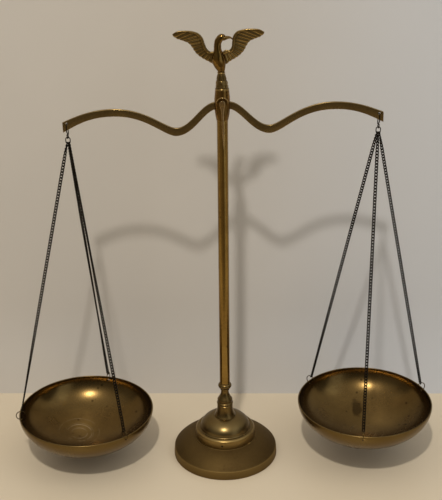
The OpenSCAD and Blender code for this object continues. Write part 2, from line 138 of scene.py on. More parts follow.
class ScaleColours(bpy.types.PropertyGroup):
    """Colours of the finishes."""

    aged: bpy.props.FloatVectorProperty(
        name="Aged brass", description="Body colour of the dull cast brass",
        subtype="COLOR", default=(0.235, 0.148, 0.048), min=0, max=1)
    polished: bpy.props.FloatVectorProperty(
        name="Polished brass", description="Body colour of the brass kept bright by handling",
        subtype="COLOR", default=(0.42, 0.28, 0.095), min=0, max=1)
    tarnish: bpy.props.FloatVectorProperty(
        name="Tarnish", description="Colour of the dark tarnish in the hollows",
        subtype="COLOR", default=(0.075, 0.045, 0.016), min=0, max=1)
    chain: bpy.props.FloatVectorProperty(
        name="Chain", description="Colour of the blackened chains and hooks",
        subtype="COLOR", default=(0.016, 0.012, 0.008), min=0, max=1)
    felt: bpy.props.FloatVectorProperty(
        name="Felt", description="Colour of the pad under the base",
        subtype="COLOR", default=(0.030, 0.060, 0.032), min=0, max=1)
    wall: bpy.props.FloatVectorProperty(
        name="Wall", description="Colour of the wall behind",
        subtype="COLOR", default=(0.56, 0.525, 0.475), min=0, max=1)
    floor: bpy.props.FloatVectorProperty(
        name="Table", description="Colour of the table top",
        subtype="COLOR", default=(0.60, 0.51, 0.375), min=0, max=1)


def sizes():
    return bpy.context.scene.scale_sizes


def colours():
    return bpy.context.scene.scale_colours


# ---------------------------------------------------------------- curves

def smooth(x, knots, values):
    """Smooth curve through knots: a cubic Hermite spline whose slopes are finite differences."""
    x, knots, values = (np.asarray(v, float) for v in (x, knots, values))
    slope = np.gradient(values, knots)
    i = np.clip(np.searchsorted(knots, x) - 1, 0, len(knots) - 2)
    h = knots[i + 1] - knots[i]
    t = np.clip((x - knots[i]) / h, 0, 1)
    return (values[i] * (2 * t**3 - 3 * t**2 + 1) + slope[i] * h * (t**3 - 2 * t**2 + t)
            + values[i + 1] * (3 * t**2 - 2 * t**3) + slope[i + 1] * h * (t**3 - t**2))


def smooth_path(points, t):
    """Smooth path through points, at shares t of its chord length."""
    points = np.asarray(points, float)
    along = np.concatenate([[0], np.cumsum(np.linalg.norm(np.diff(points, axis=0), axis=1))])
    at = np.asarray(t) * along[-1]
    return np.stack([smooth(at, along, values) for values in points.T], -1)


def bezier(points, t):
    """Cubic Bezier curve at t, one row for each t."""
    p, t = np.asarray(points, float), np.asarray(t, float)[:, None]
    return p[0] * (1 - t) ** 3 + 3 * p[1] * t * (1 - t) ** 2 + 3 * p[2] * t * t * (1 - t) + p[3] * t**3


def arc(centre, radius, start, end, count=12):
    """Points of a circular arc between two angles in degrees."""
    a = np.radians(np.linspace(start, end, count))
    return np.stack([centre[0] + radius * np.cos(a), centre[1] + radius * np.sin(a)], -1)


def eased(corners, radius, closed=True, steps=5):
    """Polygon whose corners are eased: each corner is a parabola that starts and ends a radius away along
    its sides, or nearly half a side away where the side is short."""
    p = np.asarray(corners, float)
    before, after = np.roll(p, 1, 0) - p, np.roll(p, -1, 0) - p
    lb, la = (np.maximum(np.linalg.norm(v, axis=1, keepdims=True), 1e-9) for v in (before, after))
    a = p + before / lb * np.minimum(radius, lb * 0.45)
    b = p + after / la * np.minimum(radius, la * 0.45)
    t = np.linspace(0, 1, steps)[None, :, None]
    q = a[:, None] * (1 - t) ** 2 + 2 * p[:, None] * t * (1 - t) + b[:, None] * t**2
    if not closed:
        q[0], q[-1] = p[0], p[-1]
    return q.reshape(-1, 2)


def turned_about(points, angle, centre=(0, 0, 0), axis="z"):
    """Points turned about an axis through a centre, in degrees."""
    c, s = math.cos(math.radians(angle)), math.sin(math.radians(angle))
    turn = {
        "z": [[c, -s, 0], [s, c, 0], [0, 0, 1]],
        "y": [[c, 0, s], [0, 1, 0], [-s, 0, c]],
        "x": [[1, 0, 0], [0, c, -s], [0, s, c]],
    }[axis]
    return (np.asarray(points) - centre) @ np.array(turn).T + centre


# ---------------------------------------------------------------- surfaces

def lathe(profile, segments=160, centre=(0, 0)):
    """Closed profile of (radius, height) turned about a vertical axis: (r cos u, r sin u, z)."""
    u = np.linspace(0, TAU, segments, endpoint=False)[:, None]
    r, z = profile[:, 0][None], profile[:, 1][None]
    return np.stack([centre[0] + r * np.cos(u), centre[1] + r * np.sin(u), z + 0 * u], -1)


def carry(path, section, up, closed=False, cap=None):
    """Section carried along a path: path + a * side + b * lift, where side is across the path and the up
    direction and lift is square to both. A cap of 0 closes an open end flat, and a cap r closes it round."""
    path = np.asarray(path, float)
    step = np.roll(path, -1, 0) - np.roll(path, 1, 0) if closed else np.gradient(path, axis=0)
    along = step / np.linalg.norm(step, axis=1, keepdims=True)
    section = np.broadcast_to(section, (len(path),) + np.shape(section)[-2:])
    if cap is not None and not closed:
        w = np.radians([90.0] if cap == 0 else [90.0, 60.0, 30.0])
        first = path[0] - along[0] * (cap * np.sin(w))[:, None]
        last = path[-1] + along[-1] * (cap * np.sin(w[::-1]))[:, None]
        shrink = np.cos(w)[:, None, None]
        section = np.concatenate([section[0] * shrink, section, section[-1] * shrink[::-1]])
        path = np.concatenate([first, path, last])
        ends = np.repeat(along[:1], len(w), 0), np.repeat(along[-1:], len(w), 0)
        along = np.concatenate([ends[0], along, ends[1]])
    side = np.cross(along, up)
    side /= np.linalg.norm(side, axis=1, keepdims=True)
    lift = np.cross(side, along)
    return path[:, None] + section[..., :1] * side[:, None] + section[..., 1:] * lift[:, None]


def circle(radius, sides=14):
    """Round section."""
    a = np.linspace(0, TAU, sides, endpoint=False)
    return radius * np.stack([np.cos(a), np.sin(a)], -1)


def ball(centre, radii, rings=18, segments=28):
    """Ellipsoid: (a cos u cos v, b sin u cos v, c sin v)."""
    u = np.linspace(0, TAU, segments, endpoint=False)[:, None]
    v = np.linspace(-math.pi / 2, math.pi / 2, rings)[None]
    unit = np.stack([np.cos(u) * np.cos(v), np.sin(u) * np.cos(v), np.sin(v) + 0 * u], -1)
    return np.asarray(centre) + unit * np.asarray(radii, float)


def grid_faces(shape, wrap, base):
    """Four-sided faces of a grid of points, closed round in the directions that wrap."""
    nu, nv = shape
    i, j = np.meshgrid(np.arange(nu - (not wrap[0])), np.arange(nv - (not wrap[1])), indexing="ij")
    i2, j2 = (i + 1) % nu, (j + 1) % nv
    return base + np.stack([i * nv + j, i2 * nv + j, i2 * nv + j2, i * nv + j2], -1).reshape(-1, 4)


def mesh_of(name, grids, sharp=40.0):
    """One mesh in metres from several grids, each (points, wrap), with the finish index of its faces and, where
    it matters, how hollow each point is, for painted shade, or how much it is lightened."""
    points, faces, finish, hollow, base = [], [], [], [], 0
    for grid, wrap, *rest in grids:
        flat = grid.reshape(-1, 3)
        quads = grid_faces(grid.shape[:2], wrap, base)
        points.append(flat)
        faces.append(quads)
        finish.append(np.broadcast_to(rest[0] if rest else 0, (len(quads),)))
        hollow.append(np.broadcast_to(rest[1] if len(rest) > 1 else 0, grid.shape[:2]).reshape(-1))
        base += len(flat)
    mesh = bpy.data.meshes.new(name)
    mesh.from_pydata((np.concatenate(points) * MM).tolist(), [], np.concatenate(faces).tolist())
    mesh.polygons.foreach_set("material_index", np.concatenate(finish).astype(np.int32))
    attribute = mesh.attributes.new("hollow", "FLOAT", "POINT")
    attribute.data.foreach_set("value", np.concatenate(hollow).astype(np.float32))
    work = bmesh.new()
    work.from_mesh(mesh)
    bmesh.ops.remove_doubles(work, verts=work.verts, dist=2e-6)
    bmesh.ops.dissolve_degenerate(work, edges=work.edges, dist=1e-7)
    bmesh.ops.recalc_face_normals(work, faces=work.faces)
    work.to_mesh(mesh)
    work.free()
    round_off(mesh, sharp)
    return mesh


def round_off(mesh, sharp):
    """Shades a mesh smooth except across edges sharper than an angle."""
    mesh.polygons.foreach_set("use_smooth", np.ones(len(mesh.polygons), bool))
    mesh.set_sharp_from_angle(angle=math.radians(sharp))
    mesh.update()


def make_piece(name, grids, finishes, body, replaced=(), cuts=(), sharp=40.0):
    """Makes a piece from grids of points, takes the cuts out, dresses it and puts it on its body."""
    piece = bpy.data.objects.new(name, mesh_of(name, grids, sharp))
    bpy.context.scene.collection.objects.link(piece)
    for material in finishes:
        piece.data.materials.append(material)
    if cuts:
        carve(piece, cuts, sharp)
    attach(piece, body)
    if replaced:
        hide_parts(*replaced)
    return piece


def carve(piece, cuts, sharp):
    """Takes each cut's shape out of a piece and drops the cuts."""
    cutters = []
    for k, grid in enumerate(cuts):
        cutter = bpy.data.objects.new(f"cutter_{k}", mesh_of("cutter", [(grid, (False, True))]))
        bpy.context.scene.collection.objects.link(cutter)
        modifier = piece.modifiers.new("cut", "BOOLEAN")
        modifier.operation, modifier.solver, modifier.object = "DIFFERENCE", "EXACT", cutter
        cutters.append(cutter)
    bpy.context.view_layer.update()
    graph = bpy.context.evaluated_depsgraph_get()
    mesh = bpy.data.meshes.new_from_object(piece.evaluated_get(graph))
    piece.modifiers.clear()
    spare, piece.data = piece.data, mesh
    bpy.data.meshes.remove(spare)
    for cutter in cutters:
        spare = cutter.data
        bpy.data.objects.remove(cutter)
        bpy.data.meshes.remove(spare)
    round_off(mesh, sharp)


def drill(start, end, radius, sides=32):
    """Round cut from one point to another."""
    start, end = np.asarray(start, float), np.asarray(end, float)
    up = (0, 0, 1) if abs(end[2] - start[2]) < np.linalg.norm(end - start) * 0.9 else (1, 0, 0)
    return carry(np.linspace(start, end, 3), circle(radius, sides), up, cap=0)


def slot_cut(low, high):
    """Square-sided cut between two corners, carried along Y."""
    low, high = np.asarray(low, float), np.asarray(high, float)
    middle, half = (low + high) / 2, (high - low) / 2
    path = np.array([[middle[0], y, middle[2]] for y in (low[1], middle[1], high[1])])
    corners = half[[0, 2]] * np.array([[-1, -1], [1, -1], [1, 1], [-1, 1]])
    return carry(path, corners, (0, 0, 1), cap=0)


# ---------------------------------------------------------------- finishes

def node_group(name, inputs, outputs):
    """Empty shader group with named sockets: each input is (name, type, default)."""
    if name in bpy.data.node_groups:
        return bpy.data.node_groups[name], True
    group = bpy.data.node_groups.new(name, "ShaderNodeTree")
    for label, kind, default in inputs:
        socket = group.interface.new_socket(label, in_out="INPUT", socket_type="NodeSocket" + kind)
        if default is not None:
            socket.default_value = default
    for label, kind in outputs:
        group.interface.new_socket(label, in_out="OUTPUT", socket_type="NodeSocket" + kind)
    return group, False


class Wiring:
    """Short hand for adding nodes to a tree and joining them."""

    def __init__(self, tree):
        self.tree = tree
        self.x = -1400

    def add(self, kind, settings=(), **links):
        node = self.tree.nodes.new("ShaderNode" + kind)
        self.x += 60
        node.location = (self.x, 0)
        for key, value in dict(settings).items():
            setattr(node, key, value)
        for key, value in links.items():
            by_number = key[0] == "i" and key[1:].isdigit()
            socket = node.inputs[int(key[1:]) if by_number else key.replace("_", " ")]
            if isinstance(value, bpy.types.NodeSocket):
                self.tree.links.new(value, socket)
            else:
                socket.default_value = value
        ready = [output for output in node.outputs if output.enabled]
        return ready[0] if len(ready) == 1 else node

    def math(self, operation, a, b=0.0, c=0.0, clamp=False):
        return self.add("Math", {"operation": operation, "use_clamp": clamp}, i0=a, i1=b, i2=c)

    def span(self, value, low, high, to_low=0.0, to_high=1.0):
        """Value between low and high, stretched smoothly to the new limits."""
        return self.add("MapRange", {"interpolation_type": "SMOOTHSTEP"},
                        i0=value, i1=low, i2=high, i3=to_low, i4=to_high)

    def mix(self, factor, a, b):
        node = self.tree.nodes.new("ShaderNodeMix")
        node.data_type = "RGBA"
        for index, value in ((0, factor), (6, a), (7, b)):
            if isinstance(value, bpy.types.NodeSocket):
                self.tree.links.new(value, node.inputs[index])
            else:
                node.inputs[index].default_value = value
        return node.outputs[2]


def rgba(colour, level=1.0):
    return (colour[0] * level, colour[1] * level, colour[2] * level, 1.0)


def patina_group():
    """Patina: broad patches of tarnish, fine mottling, and small dark spots."""
    group, ready = node_group(
        "patina",
        [("Vector", "Vector", None), ("Patch", "Float", 22.0), ("Fine", "Float", 420.0),
         ("Spots", "Float", 0.3)],
        [("Tarnish", "Float"), ("Mottle", "Float"), ("Spot", "Float")])
    if ready:
        return group
    w = Wiring(group)
    source = group.nodes.new("NodeGroupInput").outputs
    broad = w.add("TexNoise", Vector=source["Vector"], Scale=source["Patch"], Detail=5.0, Roughness=0.6)
    fine = w.add("TexNoise", Vector=source["Vector"], Scale=source["Fine"], Detail=4.0, Roughness=0.65)
    cells = w.add("TexVoronoi", {"feature": "F1"}, Vector=source["Vector"], Scale=130.0, Randomness=1.0)
    rare = w.add("TexNoise", Vector=source["Vector"], Scale=61.0, Detail=1.0)
    sink = group.nodes.new("NodeGroupOutput").inputs
    group.links.new(w.span(broad.outputs[0], 0.36, 0.66), sink["Tarnish"])
    group.links.new(w.span(fine.outputs[0], 0.3, 0.7), sink["Mottle"])
    dot = w.span(cells.outputs[0], 0.10, 0.26, 1.0, 0.0)
    chosen = w.span(rare.outputs[0], 0.56, 0.62)
    spot = w.math("MULTIPLY", dot, chosen)
    group.links.new(w.math("MULTIPLY", spot, source["Spots"], clamp=True), sink["Spot"])
    return group


def lathe_marks_group():
    """Lathe marks: noise stretched round the turning axis, so that it reads as fine circles."""
    group, ready = node_group(
        "lathe_marks", [("Vector", "Vector", None), ("Lines", "Float", 900.0)],
        [("Height", "Float"), ("Line", "Float")])
    if ready:
        return group
    w = Wiring(group)
    source = group.nodes.new("NodeGroupInput").outputs
    split = w.add("SeparateXYZ", i0=source["Vector"])
    squares = [w.math("POWER", split.outputs[k], 2.0) for k in (0, 1)]
    radius = w.math("SQRT", w.math("ADD", *squares))
    turn = w.math("ARCTAN2", split.outputs[1], split.outputs[0])
    wrapped = w.add("CombineXYZ", i0=w.math("MULTIPLY", radius, source["Lines"]), i1=w.math("SINE", turn),
                    i2=w.math("MULTIPLY", split.outputs[2], source["Lines"]))
    noise = w.add("TexNoise", Vector=wrapped, Scale=1.0, Detail=3.0, Roughness=0.6)
    sink = group.nodes.new("NodeGroupOutput").inputs
    group.links.new(noise.outputs[0], sink["Height"])
    group.links.new(w.span(noise.outputs[0], 0.42, 0.62), sink["Line"])
    return group


def rub_and_shade_group():
    """Edge rub and shade: bare metal where the surface is convex, broken up by the mottling, and painted shade
    where it is hollow."""
    group, ready = node_group(
        "rub_and_shade", [("Mottle", "Float", 0.5), ("Strength", "Float", 1.0)],
        [("Rub", "Float"), ("Shade_in_hollows", "Float")])
    if ready:
        return group
    w = Wiring(group)
    source = group.nodes.new("NodeGroupInput").outputs
    shape = w.add("NewGeometry").outputs["Pointiness"]
    sink = group.nodes.new("NodeGroupOutput").inputs
    rub = w.math("MULTIPLY", w.span(shape, 0.512, 0.58), w.math("MULTIPLY_ADD", source["Mottle"], 0.6, 0.5))
    for name, value in (("Rub", rub), ("Shade_in_hollows", w.span(shape, 0.49, 0.42))):
        group.links.new(w.math("MULTIPLY", value, source["Strength"], clamp=True), sink[name])
    return group


# Worn circles in a bowl: radius and width in metres, and strength
RING_MARKS = ((0.0092, 0.0011, 0.75), (0.0146, 0.0009, 1.0), (0.0168, 0.0006, 0.5), (0.0235, 0.0008, 0.4))


def ring_marks_group():
    """Ring marks: pale worn circles in the bottom of a bowl, each a thin band about a radius, broken up."""
    group, ready = node_group(
        "ring_marks", [("Vector", "Vector", None), ("Mottle", "Float", 0.5)], [("Mark", "Float")])
    if ready:
        return group
    w = Wiring(group)
    source = group.nodes.new("NodeGroupInput").outputs
    flat = w.add("VectorMath", {"operation": "MULTIPLY"}, i0=source["Vector"], i1=(1.0, 1.0, 0.0))
    radius = w.add("VectorMath", {"operation": "LENGTH"}, i0=flat)
    mark = 0.0
    for place, width, level in RING_MARKS:
        off = w.math("ABSOLUTE", w.math("SUBTRACT", radius, place))
        mark = w.math("ADD", w.math("MULTIPLY", w.span(off, 0.0, width, 1.0, 0.0), level), mark)
    worn = w.add("TexNoise", Vector=source["Vector"], Scale=75.0, Detail=2.0)
    grain = w.math("MULTIPLY_ADD", source["Mottle"], 0.6, 0.6)
    keep = w.math("MULTIPLY", w.span(worn.outputs[0], 0.40, 0.60), grain)
    sink = group.nodes.new("NodeGroupOutput").inputs
    group.links.new(w.math("MULTIPLY", mark, keep, clamp=True), sink["Mark"])
    return group


def brass(name, base, shade, bright, rough=(0.28, 0.42), tarnish=0.6, patch=22.0, fine=420.0, spots=0.3,
          rub=0.5, lines=900.0, line_depth=0.35, bump=0.00002, centre=None, rings=0.0, ring_shift=(0.0, 0.0),
          stain=None, cast=0.0, hollow_shade=0.0, worn=0.0):
    """Brass finish: tarnish patches, mottling, spots, lathe marks, rubbed edges and painted shade in hollows
    over a plain metal shader. base, shade and bright are its body colour, the colour of tarnish and of painted
    shade, and the colour of rubbed edges, worn circles and painted highlights. rings adds worn circles in a
    bowl about ring_shift, stain a dark blot given as its place and reach, and cast a lumpy skin. The hollow
    attribute paints shade into grooves and furrows, and lightens the base plate's rim, a painted highlight, and
    the riser's band."""
    known = bpy.data.materials.get("finish_" + name)
    if known:
        return known
    material = bpy.data.materials.new("finish_" + name)
    material.use_nodes = True
    tree = material.node_tree
    shader = tree.nodes["Principled BSDF"]
    shader.inputs["Metallic"].default_value = 1.0
    w = Wiring(tree)
    place = w.add("TexCoord").outputs["Object"]
    if centre is not None:
        place = w.add("Mapping", Vector=place, Location=tuple(-np.asarray(centre, float) * MM))
    patina = w.add("Group", {"node_tree": patina_group()}, Vector=place, Patch=patch, Fine=fine, Spots=spots)
    # The strength scales both the rubbed edges and the painted shade in the hollows.
    edges = w.add("Group", {"node_tree": rub_and_shade_group()}, Mottle=patina.outputs["Mottle"], Strength=rub)
    marks = w.add("Group", {"node_tree": lathe_marks_group()}, Vector=place, Lines=lines)
    mottle = patina.outputs["Mottle"]
    speckle = w.math("MULTIPLY", mottle, 0.18)
    dull = w.math("MULTIPLY_ADD", patina.outputs["Tarnish"], tarnish, speckle, clamp=True)
    colour = w.mix(dull, rgba(base), rgba(shade))
    colour = w.mix(w.math("MULTIPLY", marks.outputs["Line"], line_depth * 0.5), colour, rgba(shade, 1.3))
    colour = w.mix(patina.outputs["Spot"], colour, rgba(shade, 0.45))
    if rings:
        shifted = w.add("Mapping", Vector=place, Location=(ring_shift[0] * MM, ring_shift[1] * MM, 0.0))
        circles = w.add("Group", {"node_tree": ring_marks_group()}, Vector=shifted, Mottle=mottle)
        colour = w.mix(w.math("MULTIPLY", circles, rings), colour, rgba(bright * (0.85, 1.05, 1.9)))
        dull = w.math("MULTIPLY_ADD", circles, 0.35, dull, clamp=True)
    if stain is not None:
        middle, blot = tuple(np.asarray(stain[:3]) * MM), stain[3]
        off = w.add("VectorMath", {"operation": "SUBTRACT"}, i0=place, i1=middle)
        off = w.add("VectorMath", {"operation": "MULTIPLY"}, i0=off, i1=(1.25, 0.6, 0.6))
        wobble = w.add("TexNoise", Vector=place, Scale=150.0, Detail=3.0)
        length = w.add("VectorMath", {"operation": "LENGTH"}, i0=off)
        inner = w.math("SUBTRACT", length, blot * 0.45 * MM)
        reach = w.math("MULTIPLY_ADD", wobble.outputs[0], blot * 0.9 * MM, inner)
        spot = w.span(reach, blot * 0.55 * MM, blot * MM, 0.85, 0.0)
        colour = w.mix(spot, colour, rgba(shade, 0.55))
    # Painted shade where the surface is hollow.
    colour = w.mix(w.math("MULTIPLY", edges.outputs["Shade_in_hollows"], 0.8), colour, rgba(shade, 0.6))
    # The hollow attribute paints shade into grooves and furrows and lightens the plate's rim, a painted
    # highlight, and the riser's band.
    for amount, tone in ((hollow_shade, rgba(shade, 0.55)), (worn, rgba(bright * 0.8))):
        if amount:
            hollow = w.add("Attribute", {"attribute_name": "hollow"}).outputs["Fac"]
            colour = w.mix(w.math("MULTIPLY", hollow, amount, clamp=True), colour, tone)
    colour = w.mix(edges.outputs["Rub"], colour, rgba(bright))
    tree.links.new(colour, shader.inputs["Base Color"])
    tree.links.new(w.span(dull, 0.0, 1.0, rough[0], rough[1]), shader.inputs["Roughness"])
    turning = w.math("MULTIPLY", marks.outputs["Height"], line_depth * 2.0)
    height = w.math("MULTIPLY_ADD", mottle, 0.5, turning)
    if cast:
        lump = w.add("TexNoise", Vector=place, Scale=260.0, Detail=2.0)
        height = w.math("MULTIPLY_ADD", lump.outputs[0], cast, height)
    relief = w.add("Bump", Height=height, Distance=bump, Strength=1.0)
    tree.links.new(relief, shader.inputs["Normal"])
    return material


def finish(name):
    """The finish of that name, made when it is first asked for."""
    c = colours()
    aged, polished, tarnish, chain = (np.array(v) for v in (c.aged, c.polished, c.tarnish, c.chain))
    deep = np.array((1.0, 0.86, 0.62))
    plain = dict(line_depth=0.0, tarnish=0.5)
    made = {
        # The plate's rim gets a painted highlight, and the riser's band a lighter tone, both from the hollow
        # attribute.
        "plate_brass": dict(
            base=aged * 0.56, shade=tarnish * 1.3, bright=polished, rough=(0.66, 0.78), tarnish=0.4, patch=16.0,
            lines=1500.0, line_depth=0.30, rub=2.6, spots=0.25, worn=0.8),
        "band_brass": dict(
            base=polished * (0.45, 0.47, 0.54), shade=aged * 0.65, bright=polished * 1.1, rough=(0.30, 0.44),
            tarnish=0.5, patch=30.0, lines=1700.0, line_depth=0.30, rub=0.7, spots=0.35, worn=0.8),
        "turned_brass": dict(
            base=polished * 0.50, shade=tarnish * 1.3, bright=polished * 0.9, rough=(0.24, 0.40), patch=34.0,
            lines=1900.0, rub=0.3),
        "column_brass": dict(
            base=polished * (0.80, 0.76, 0.60), shade=aged * deep * 0.6, bright=polished, rough=(0.14, 0.28),
            tarnish=0.5, patch=12.0, lines=240.0, line_depth=0.25, rub=0.2, spots=0.5),
        "yoke_brass": dict(
            base=aged * deep * 1.1, shade=tarnish * 1.3, bright=polished, rough=(0.26, 0.42), tarnish=0.5,
            patch=60.0, lines=1500.0, rub=0.8),
        # The bird's grooves and the wings' furrows get painted shade from the hollow attribute.
        "bird_brass": dict(
            plain, base=polished * deep * 0.54, shade=tarnish, bright=polished, rough=(0.12, 0.28),
            tarnish=0.45, patch=70.0, rub=0.9, cast=0.8, bump=0.00003, hollow_shade=0.8),
        "wing_brass": dict(
            plain, base=polished * 0.78, shade=tarnish, bright=polished * 1.2, rough=(0.22, 0.40), patch=60.0,
            rub=0.8, cast=0.5, bump=0.00003, hollow_shade=0.97),
        "beam_brass": dict(
            plain, base=aged * (1.60, 1.78, 2.2), shade=tarnish * 1.2, bright=polished, rough=(0.24, 0.42),
            patch=20.0, rub=0.7, cast=0.4),
        "pointer_brass": dict(
            plain, base=polished * (1.25, 1.3, 1.9), shade=aged, bright=polished * 1.4, rough=(0.24, 0.36),
            tarnish=0.4, patch=90.0, rub=0.8),
        "chain_metal": dict(
            plain, base=chain, shade=chain * 0.5, bright=chain * 2.0, rough=(0.50, 0.66), tarnish=0.6,
            patch=60.0, rub=0.25, spots=0.0),
        "hook_metal": dict(
            plain, base=chain * 1.1, shade=chain * 0.6, bright=chain * 4.0, rough=(0.28, 0.45), patch=90.0,
            rub=0.3, spots=0.0),
        "rim_ring_metal": dict(
            plain, base=aged * 0.35, shade=chain, bright=polished * 0.6, rough=(0.24, 0.4), patch=90.0,
            spots=0.0),
        "fitting_brass": dict(
            plain, base=aged, shade=tarnish, bright=polished, rough=(0.3, 0.45), tarnish=0.6, patch=90.0),
    }
    for side in SIDES:
        here = (pan_centre_x[side], 0, rim_z[side] - (PAN_DEPTH - 1.0))
        circles = dict(rings=0.95, ring_shift=(12.3, -13.5)) if side == "left" else dict(rings=0.25)
        stain = (-2.7, 41.0, 6.6, 9.5) if side == "right" else None
        made[side + "_pan_inside"] = dict(
            base=aged * 0.80, shade=tarnish * 1.25, bright=aged * 1.7, rough=(0.19, 0.34), tarnish=0.5,
            patch=17.0, lines=420.0, line_depth=0.18, rub=0.0, spots=0.8, centre=here, stain=stain, **circles)
        made[side + "_pan_outside"] = dict(
            base=polished * 0.42, shade=aged * 0.6, bright=polished * 1.1, rough=(0.26, 0.40), tarnish=0.5,
            patch=17.0, lines=700.0, line_depth=0.25, rub=0.8, spots=0.4, centre=here)
    return brass(name, **made[name])


def felt_finish():
    """Felt: matt wool with a fibre bump and a little colour change."""
    known = bpy.data.materials.get("felt")
    if known:
        return known
    material = bpy.data.materials.new("felt")
    material.use_nodes = True
    shader = material.node_tree.nodes["Principled BSDF"]
    shader.inputs["Roughness"].default_value = 0.95
    shader.inputs["Sheen Weight"].default_value = 0.4
    w = Wiring(material.node_tree)
    place = w.add("TexCoord").outputs["Object"]
    fibre = w.add("TexNoise", Vector=place, Scale=900.0, Detail=6.0, Roughness=0.75)
    wool = colours().felt
    colour = w.mix(w.span(fibre.outputs[0], 0.35, 0.65), rgba(wool, 0.7), rgba(wool, 1.3))
    nap = w.add("Bump", Height=fibre.outputs[0], Distance=0.0002)
    w.tree.links.new(colour, shader.inputs["Base Color"])
    w.tree.links.new(nap, shader.inputs["Normal"])
    return material


def dress(node, material):
    """Gives a frame node a finish."""
    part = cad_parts[node]
    if not part.material_slots:
        part.data.materials.append(material)
    for holder in part.material_slots:
        holder.material = material


# ---------------------------------------------------------------- stand

def base_plate_profile():
    """Hollow plate: tapered rim, crown as an arc from the rim to a small raised seat, and the locating
    ring."""
    radius, seat, band, wall = plate_high[0], riser_low[2], riser_high[0], CAST_WALL
    rim, foot = np.array([radius - RIM_INSET, RIM_TOP]), np.array([band + 1.7, seat - 0.75])
    middle, half = (rim + foot) / 2, np.linalg.norm(foot - rim) / 2
    across = (rim - foot) / (2 * half)
    centre = middle - np.array([-across[1], across[0]]) * math.sqrt(CROWN_ARC**2 - half**2)
    start, end = (math.degrees(math.atan2(*(p - centre)[::-1])) for p in (rim, foot))
    outside = arc(centre, CROWN_ARC, start, end, 26)
    inside = arc(centre, CROWN_ARC - wall, end, start, 14)[1:-1]
    corners = np.array([[ROD_HOLE, seat], [ROD_HOLE, seat - wall], [band - wall, seat - wall]])
    skirt = radius - 4.6
    lower = np.array([[skirt, 6.5], [skirt, 0.0]])
    rim_arc = eased([[skirt, 0], [radius, 0], rim, outside[1]], sizes().edge_round, closed=False)[1:-1]
    ledge = eased([outside[-2], foot, [band + 1.5, seat], [band, seat]], 0.35, closed=False)[1:-1]
    outer, inner = band - wall, band - 2 * wall
    ring = np.array([[outer, seat], [outer, seat + 6], [inner, seat + 6], [inner, seat]])
    return np.concatenate([corners, inside, lower, rim_arc, outside[2:-2], ledge, ring])


def riser_profile():
    """Band, sloping groove and low dome, hollow inside. The dome is a cosine outwards and a sine upwards, both
    to the same power."""
    r, z, top, foot = riser_high[0], riser_low[2], riser_high[2], FOOT_RADIUS
    shoulder, dome_height, power = 6.1, 12.2, 2 / 1.6
    dome_reach = r - shoulder - foot - 0.3
    band = eased([[r - CAST_WALL, z], [r, z], [r - 0.3, z + 8.9], [r - 0.9, z + BAND_TOP], [r - 2.7, z + 10.7],
                  [r - 5, z + 10.45], [r - 5.7, z + 11.3], [r - shoulder, z + 13.1]], 0.5, closed=False)
    a = np.radians(np.linspace(3, 90, 30))
    dome = np.stack([foot + 0.3 + dome_reach * np.cos(a) ** power,
                     top - dome_height * (1 - np.sin(a) ** power)], -1)
    inside = np.array([[ROD_HOLE, top], [ROD_HOLE, top - CAST_WALL], [foot, top - CAST_WALL],
                       [r - 9.5, z + 11.5], [r - CAST_WALL, z + 7]])
    return np.concatenate([band[:-1], dome, inside])


def baluster_profile():
    """Foot, flared bell, groove, bead and small vase: the bell's radius falls as the power 2.7 of the height
    left, the vase's as a cosine."""
    z, h = baluster_low[2], baluster_high[2] - baluster_low[2]
    t = np.linspace(0, 1, 26)
    bell = np.stack([8.9 + (FOOT_RADIUS - 9.0) * (1 - t) ** 2.7, z + 0.35 + t * (h * 0.4 + 0.45)], -1)
    vase = np.stack([NECK_RADIUS + 4.2 * (1 + np.cos(np.pi * t**0.65)) / 2, z + h * (0.64 + 0.33 * t)], -1)
    foot = np.array([[SOCKET, z], [FOOT_RADIUS, z], [FOOT_RADIUS, z + 0.12]])
    waist = [bell[-1], [8.75, z + h * 0.43], [8.2, z + h * 0.445], [8.3, z + h * 0.46]]
    waist = eased(waist, 0.3, closed=False)
    bead = arc((8.0, z + h * 0.5), 1.3, -66, 66, 14)
    lip = eased([[7.9, z + h * 0.56], [7.9, z + h * 0.585], [8.5, z + h * 0.60], vase[0]], 0.3, closed=False)
    top = [[NECK_RADIUS, z + h], [SOCKET, z + h]]
    return np.concatenate([foot, bell[:-1], waist, bead, lip, vase[1:], top])


def collar_profile():
    """Neck flare and round bead, with the column's socket in its middle."""
    z = baluster_high[2]
    neck = eased([[SOCKET, z], [4.9, z], [5.35, z + 1.1], [5.2, z + 2.4]], 0.4, closed=False)
    bead = arc((4.6, z + 6), 3.1, -64, 62, 22)
    socket = [[6.0, z + 9.2], [5.95, z + 10], [5.8, z + 10], [5.8, z + 3.5], [SOCKET, z + 3.5]]
    return np.concatenate([neck, bead, socket])


